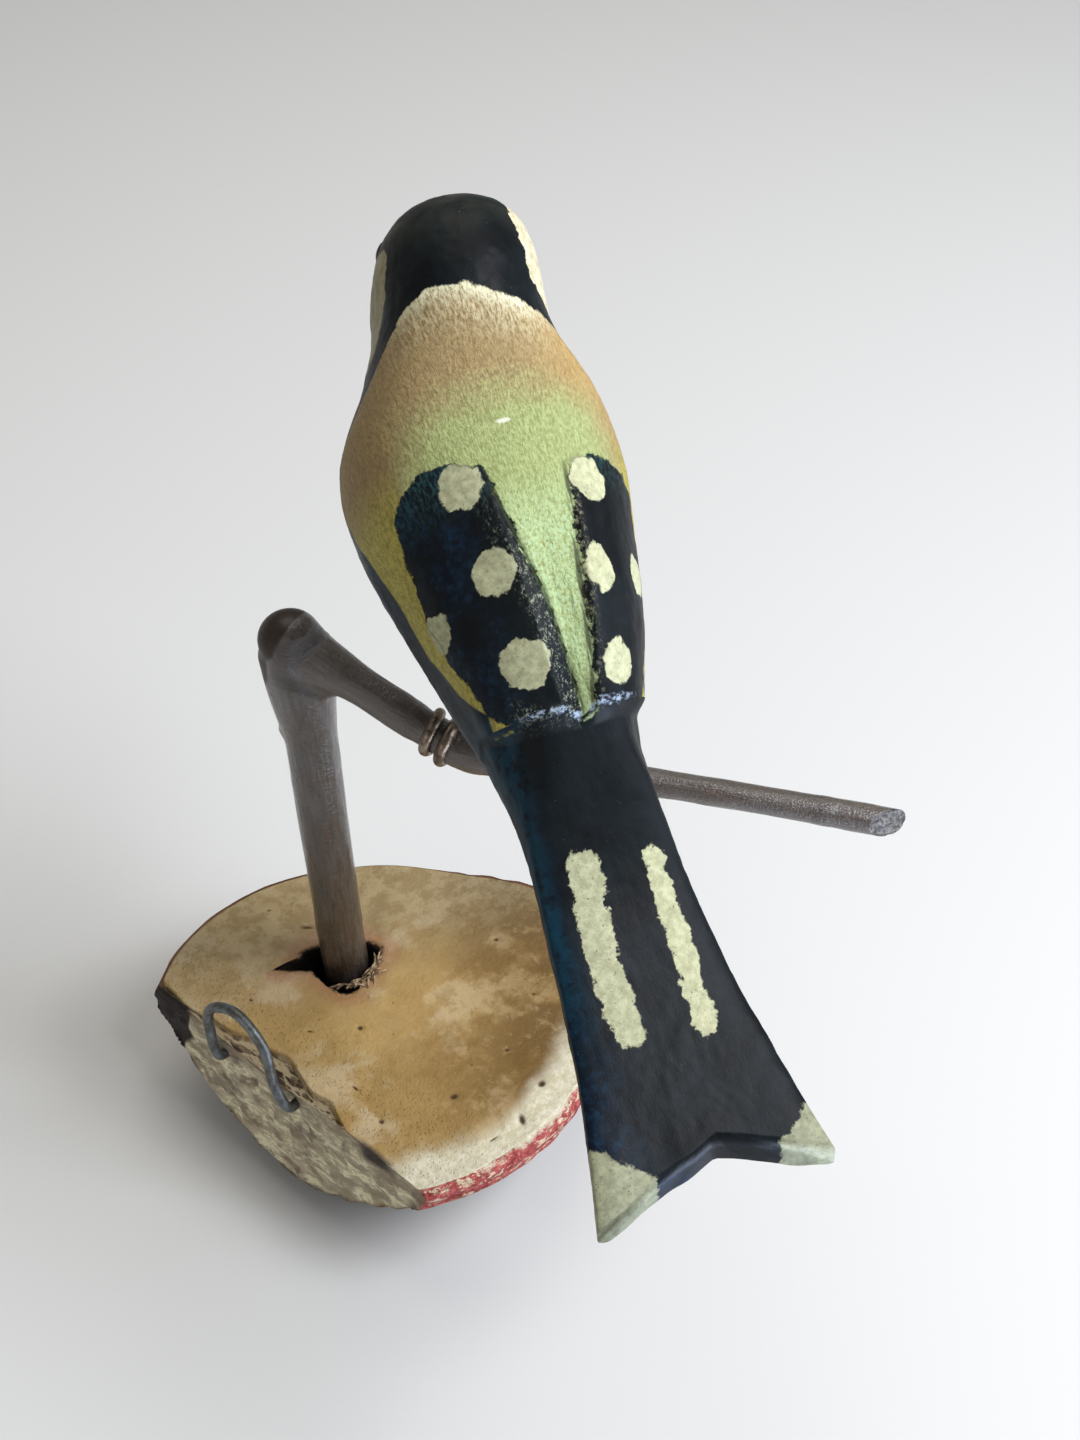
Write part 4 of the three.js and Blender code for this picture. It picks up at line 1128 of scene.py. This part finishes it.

# Cap, with the cracked red belt under the rim and the dark foot; the wall of the stem's hole
# painted near black as shade
cracked = fungus.noise(0.5, 5.0, 0.7, stretch=(1.0, 1.0, 2.5))
red = fungus.layers(fungus.mix(speck.step(0.35, 0.65), "#83302f", "#b55d58"),
                    (cracked.step(0.53, 0.59) * 0.85, "#d2c3a4"))
level = z_mm + (mid - 0.5) * 4.0
cap_colour = fungus.layers(
    fungus.mix(patch.step(0.4, 0.62), "#5a3c2b", "#8a6746"),
    (level.step(18.0, 20.0) * 0.7, "#6f4a38"),
    (level.step(18.2, 19.8) * near_right.step(0.02, 0.3), red),
    (level.step(23.3, 24.2) * near_right, margin_colour),
    (level.step(9.0, 4.0), "#43342a"),
    # painted shade: the wall of the stem's hole near black
    (hole_in.step(20.0, 10.0), "#150e08"))

# Sawn face with its pale torn fibres
lie = math.atan2(saw_along[1], saw_along[0])
on_face = fungus.node("Mapping", {"Vector": fungus.place, "Rotation": (0, 0, lie),
                                  "Scale": (2.6, 1, 1)}, vector_type="TEXTURE")
curl = fungus.noise(0.45, 6.0, 0.7, place=on_face)
fibre = fungus.noise(0.48, 3.0, 0.6, place=on_face)
ridge = abs(fibre - 0.5).step(0.07, 0.025)
face_colour = fungus.layers(
    fungus.mix(curl.step(0.36, 0.6), "#91836f", "#c6bb9f"),
    (wide.step(0.4, 0.6) * 0.4, "#a6a388"),
    (ridge * curl.step(0.42, 0.56) * 0.9, "#e6dfbd"),
    (patch.step(0.47, 0.36) * 0.6, "#584743"),
    (z_mm.step(19.5, 22.0) * curl.step(0.4, 0.55) * 0.5, "#5d4743"))
torn_colour = fungus.layers(fungus.mix(curl.step(0.4, 0.62), "#33261f", "#857056"),
                            (ridge * 0.7, "#b5a582"))

crust_in = fungus.field("crust").step(0.3, 0.7)
saw_edge = saw_in.step(1.4, 0.2) * fungus.field("scale") * z_mm.step(20.6, 22.0)
shade = fungus.layers(
    cap_colour, (pores_in, pore_colour), (torn_in * pores_in, torn_colour),
    (fungus.field("sawn"), face_colour), (saw_edge * 0.9, "#2c2328"), (crust_in, "#1f1512"),
    (fungus.field("fibre"), fungus.mix(speck.step(0.4, 0.6), "#5a4632", "#b39c7c")))
pore_height = pores.step(0.08, 0.4) * (0.1 + near_saw * 0.6) + mid * 2.4
on_pores = pores_in * (1.0 - torn_in)
flesh_bump, pore_bump = fungus.bump(curl * 1.2 + fibre * 0.6, 0.9), fungus.bump(pore_height, 0.17)
fungus_normal = fungus.node("Mix", {"Factor": on_pores, 4: flesh_bump, 5: pore_bump}, out=1,
                            data_type="VECTOR")
dry = 0.85 - on_pores * 0.42 - crust_in * 0.45
base.data.materials.append(fungus.finish(shade, dry, fungus_normal, Specular_IOR_Level=0.22))
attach(base, "root")
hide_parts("base")

# %% [markdown]
# Steel wire: the hanging loop in the sawn face and the two legs, each wound
# round the perch and sunk a little into the bark.

# %% Wires
WIRE_SIDES = 20
LOOP_RADIUS = 0.85
LEG_RADIUS = 0.84
LOOP_LEFT, LOOP_SPAN, LOOP_RISE = 16.2, 15.4, 10.6
LOOP_DROP, LOOP_STANDOFF, LOOP_EMBED = 2.6, 1.7, 5.0
LEG_SPREAD, LEG_FORWARD, LEG_SOCKET = 5.0, 2.0, 5.0
BELLY_HEIGHT = 0.13 * BIRD_LENGTH
FOOT_TURNS, FOOT_PITCH = 2, 2.5
SUNK = 0.35                       # depth of the wire in the bark
loop_shape = [                     # share of the span, share of the rise, share of the standoff
    (0, None, -1), (0, None, -0.5), (0, None, 0), (-0.06, 0.06, 1), (-0.12, 0.6, 1), (0.06, 0.9, 1),
    (0.34, 1.0, 1), (0.68, 0.7, 1), (0.84, 0.12, 1), (1, None, 0), (1, None, -0.5), (1, None, -1),
]
loop_points = []
for span, rise, standoff in loop_shape:
    up = -LOOP_DROP if rise is None else LOOP_RISE * rise
    out_of = LOOP_STANDOFF / 2 if standoff == 0 else LOOP_STANDOFF
    out_of = LOOP_EMBED * standoff if standoff < 0 else out_of
    loop_points.append(on_saw(LOOP_LEFT + LOOP_SPAN * span, up, out_of))

def steel_look(name, scale, tones, edges, rough):
    """Dull drawn wire; rough is the least roughness and how far it varies."""
    look = Look(name)
    tarnish = look.noise(scale, 4.0, 0.65)
    return look.finish(look.mix(tarnish.step(*edges), *tones), rough[0] + tarnish * rough[1],
                       look.bump(look.noise(2.0, 3.0), 0.05), Metallic=0.85)


steel = steel_look("grey steel wire", 0.6, ("#6a6f71", "#54544f"), (0.42, 0.62), (0.24, 0.35))
brown_steel = steel_look("browned steel wire", 0.8, ("#8a7c6b", "#4b3d2f"), (0.4, 0.65),
                         (0.22, 0.3))


def leg_points(side):
    """Route of one leg: socket, belly, down to the perch and round it."""
    tops = [[side * LEG_SPREAD, LEG_FORWARD, BELLY_HEIGHT + LEG_SOCKET * s] for s in (1, 0.5, 0)]
    share = FOOT_SHARE + side * FOOT_REACH
    index = share * (len(perch_path) - 1)
    grip = catmull(perch_path, np.array(index))
    run = catmull(perch_path, np.array(index + 1)) - catmull(perch_path, np.array(index - 1))
    run /= np.linalg.norm(run)
    level = np.array([-run[1], run[0], 0]) / np.hypot(run[0], run[1])
    over = np.cross(run, level)
    radius = perch_radius(np.array(share)) + LEG_RADIUS - SUNK
    turn = np.linspace(0, 2 * np.pi * FOOT_TURNS, 12 * FOOT_TURNS + 1)[:, None]
    coil = (grip - run * FOOT_PITCH * (turn / (2 * np.pi) - FOOT_TURNS / 2)
            + level * radius * np.cos(turn) - over * radius * np.sin(turn))
    return np.vstack([bird_to_frame(np.array(tops)), coil])


for name, node_name, route, radius, finish in [
        ("hanging_wire", "hanging_loop", loop_points, LOOP_RADIUS, steel),
        ("leg_left", "leg_wire_left", leg_points(-1), LEG_RADIUS, brown_steel),
        ("leg_right", "leg_wire_right", leg_points(1), LEG_RADIUS, brown_steel)]:
    path = even_path(route, 260)
    points, faces = tube(path, radius * (1 - 0.03 * np.abs(lumps(path, 2.0, 41))), WIRE_SIDES)
    wire = make_mesh(name, points, faces)
    wire.data.materials.append(finish)
    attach(wire, "root")
    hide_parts(node_name)

# %% [markdown]
# A plain pale floor and soft studio light: a large cool window on the right,
# a weak fill on the left, an even sky, and a cool panel that lies on the floor
# outside the frame and puts the sheen on the twig.

# %% Stage and light
floor_mesh = bpy.data.meshes.new("floor")
floor_mesh.from_pydata([(-3, -3, 0), (3, -3, 0), (3, 3, 0), (-3, 3, 0)], [], [(0, 1, 2, 3)])
floor = bpy.data.objects.new("floor", floor_mesh)
bpy.context.scene.collection.objects.link(floor)
floor.data.materials.append(Look("pale floor").finish("#c9c9c6", 0.9))

PANEL_AZIMUTH, PANEL_DISTANCE, PANEL_HEIGHT = 29.0, 250.0, 4.0
PANEL_SIDES = (0.1, 0.22)


def area_light(name, size, power, tint):
    """Square light of this size, in metres, without a place yet."""
    lamp = bpy.data.lights.new(name, "AREA")
    lamp.size = size
    lamp.energy = power
    lamp.color = colour(tint)[:3]
    item = bpy.data.objects.new(name, lamp)
    bpy.context.scene.collection.objects.link(item)
    return item


for name, azimuth, elevation, distance, size, power, tint in [
        ("window", 52, 50, 620, 0.34, 5.6, "#f3f6ff"),
        ("low window", 62, 9, 520, 0.3, 1.0, "#dbe6ff"),
        ("ceiling", 165, 66, 700, 0.5, 2.0, "#fffaf2"),
        ("fill", -62, 16, 700, 0.5, 0.75, "#fbf6ee")]:
    lamp_place = VIEW_TARGET + distance * direction(azimuth, elevation)
    look_at(area_light(name, size, power, tint), lamp_place, VIEW_TARGET)

panel = area_light("low panel", PANEL_SIDES[0], 1.0, "#d3e1ff")
panel.data.shape = "RECTANGLE"
panel.data.size_y = PANEL_SIDES[1]
panel_place = [0, 0, PANEL_HEIGHT] + PANEL_DISTANCE * direction(PANEL_AZIMUTH, 0)
panel.location = panel_place / 1000
panel.rotation_euler = (math.pi, 0, math.radians(PANEL_AZIMUTH))
panel.visible_camera = False
world = bpy.data.worlds.new("studio")
bpy.context.scene.world = world
world.use_nodes = True
world.node_tree.nodes["Background"].inputs["Color"].default_value = (1, 1, 1, 1)
world.node_tree.nodes["Background"].inputs["Strength"].default_value = 0.27
bpy.context.scene.view_settings.view_transform = "Standard"
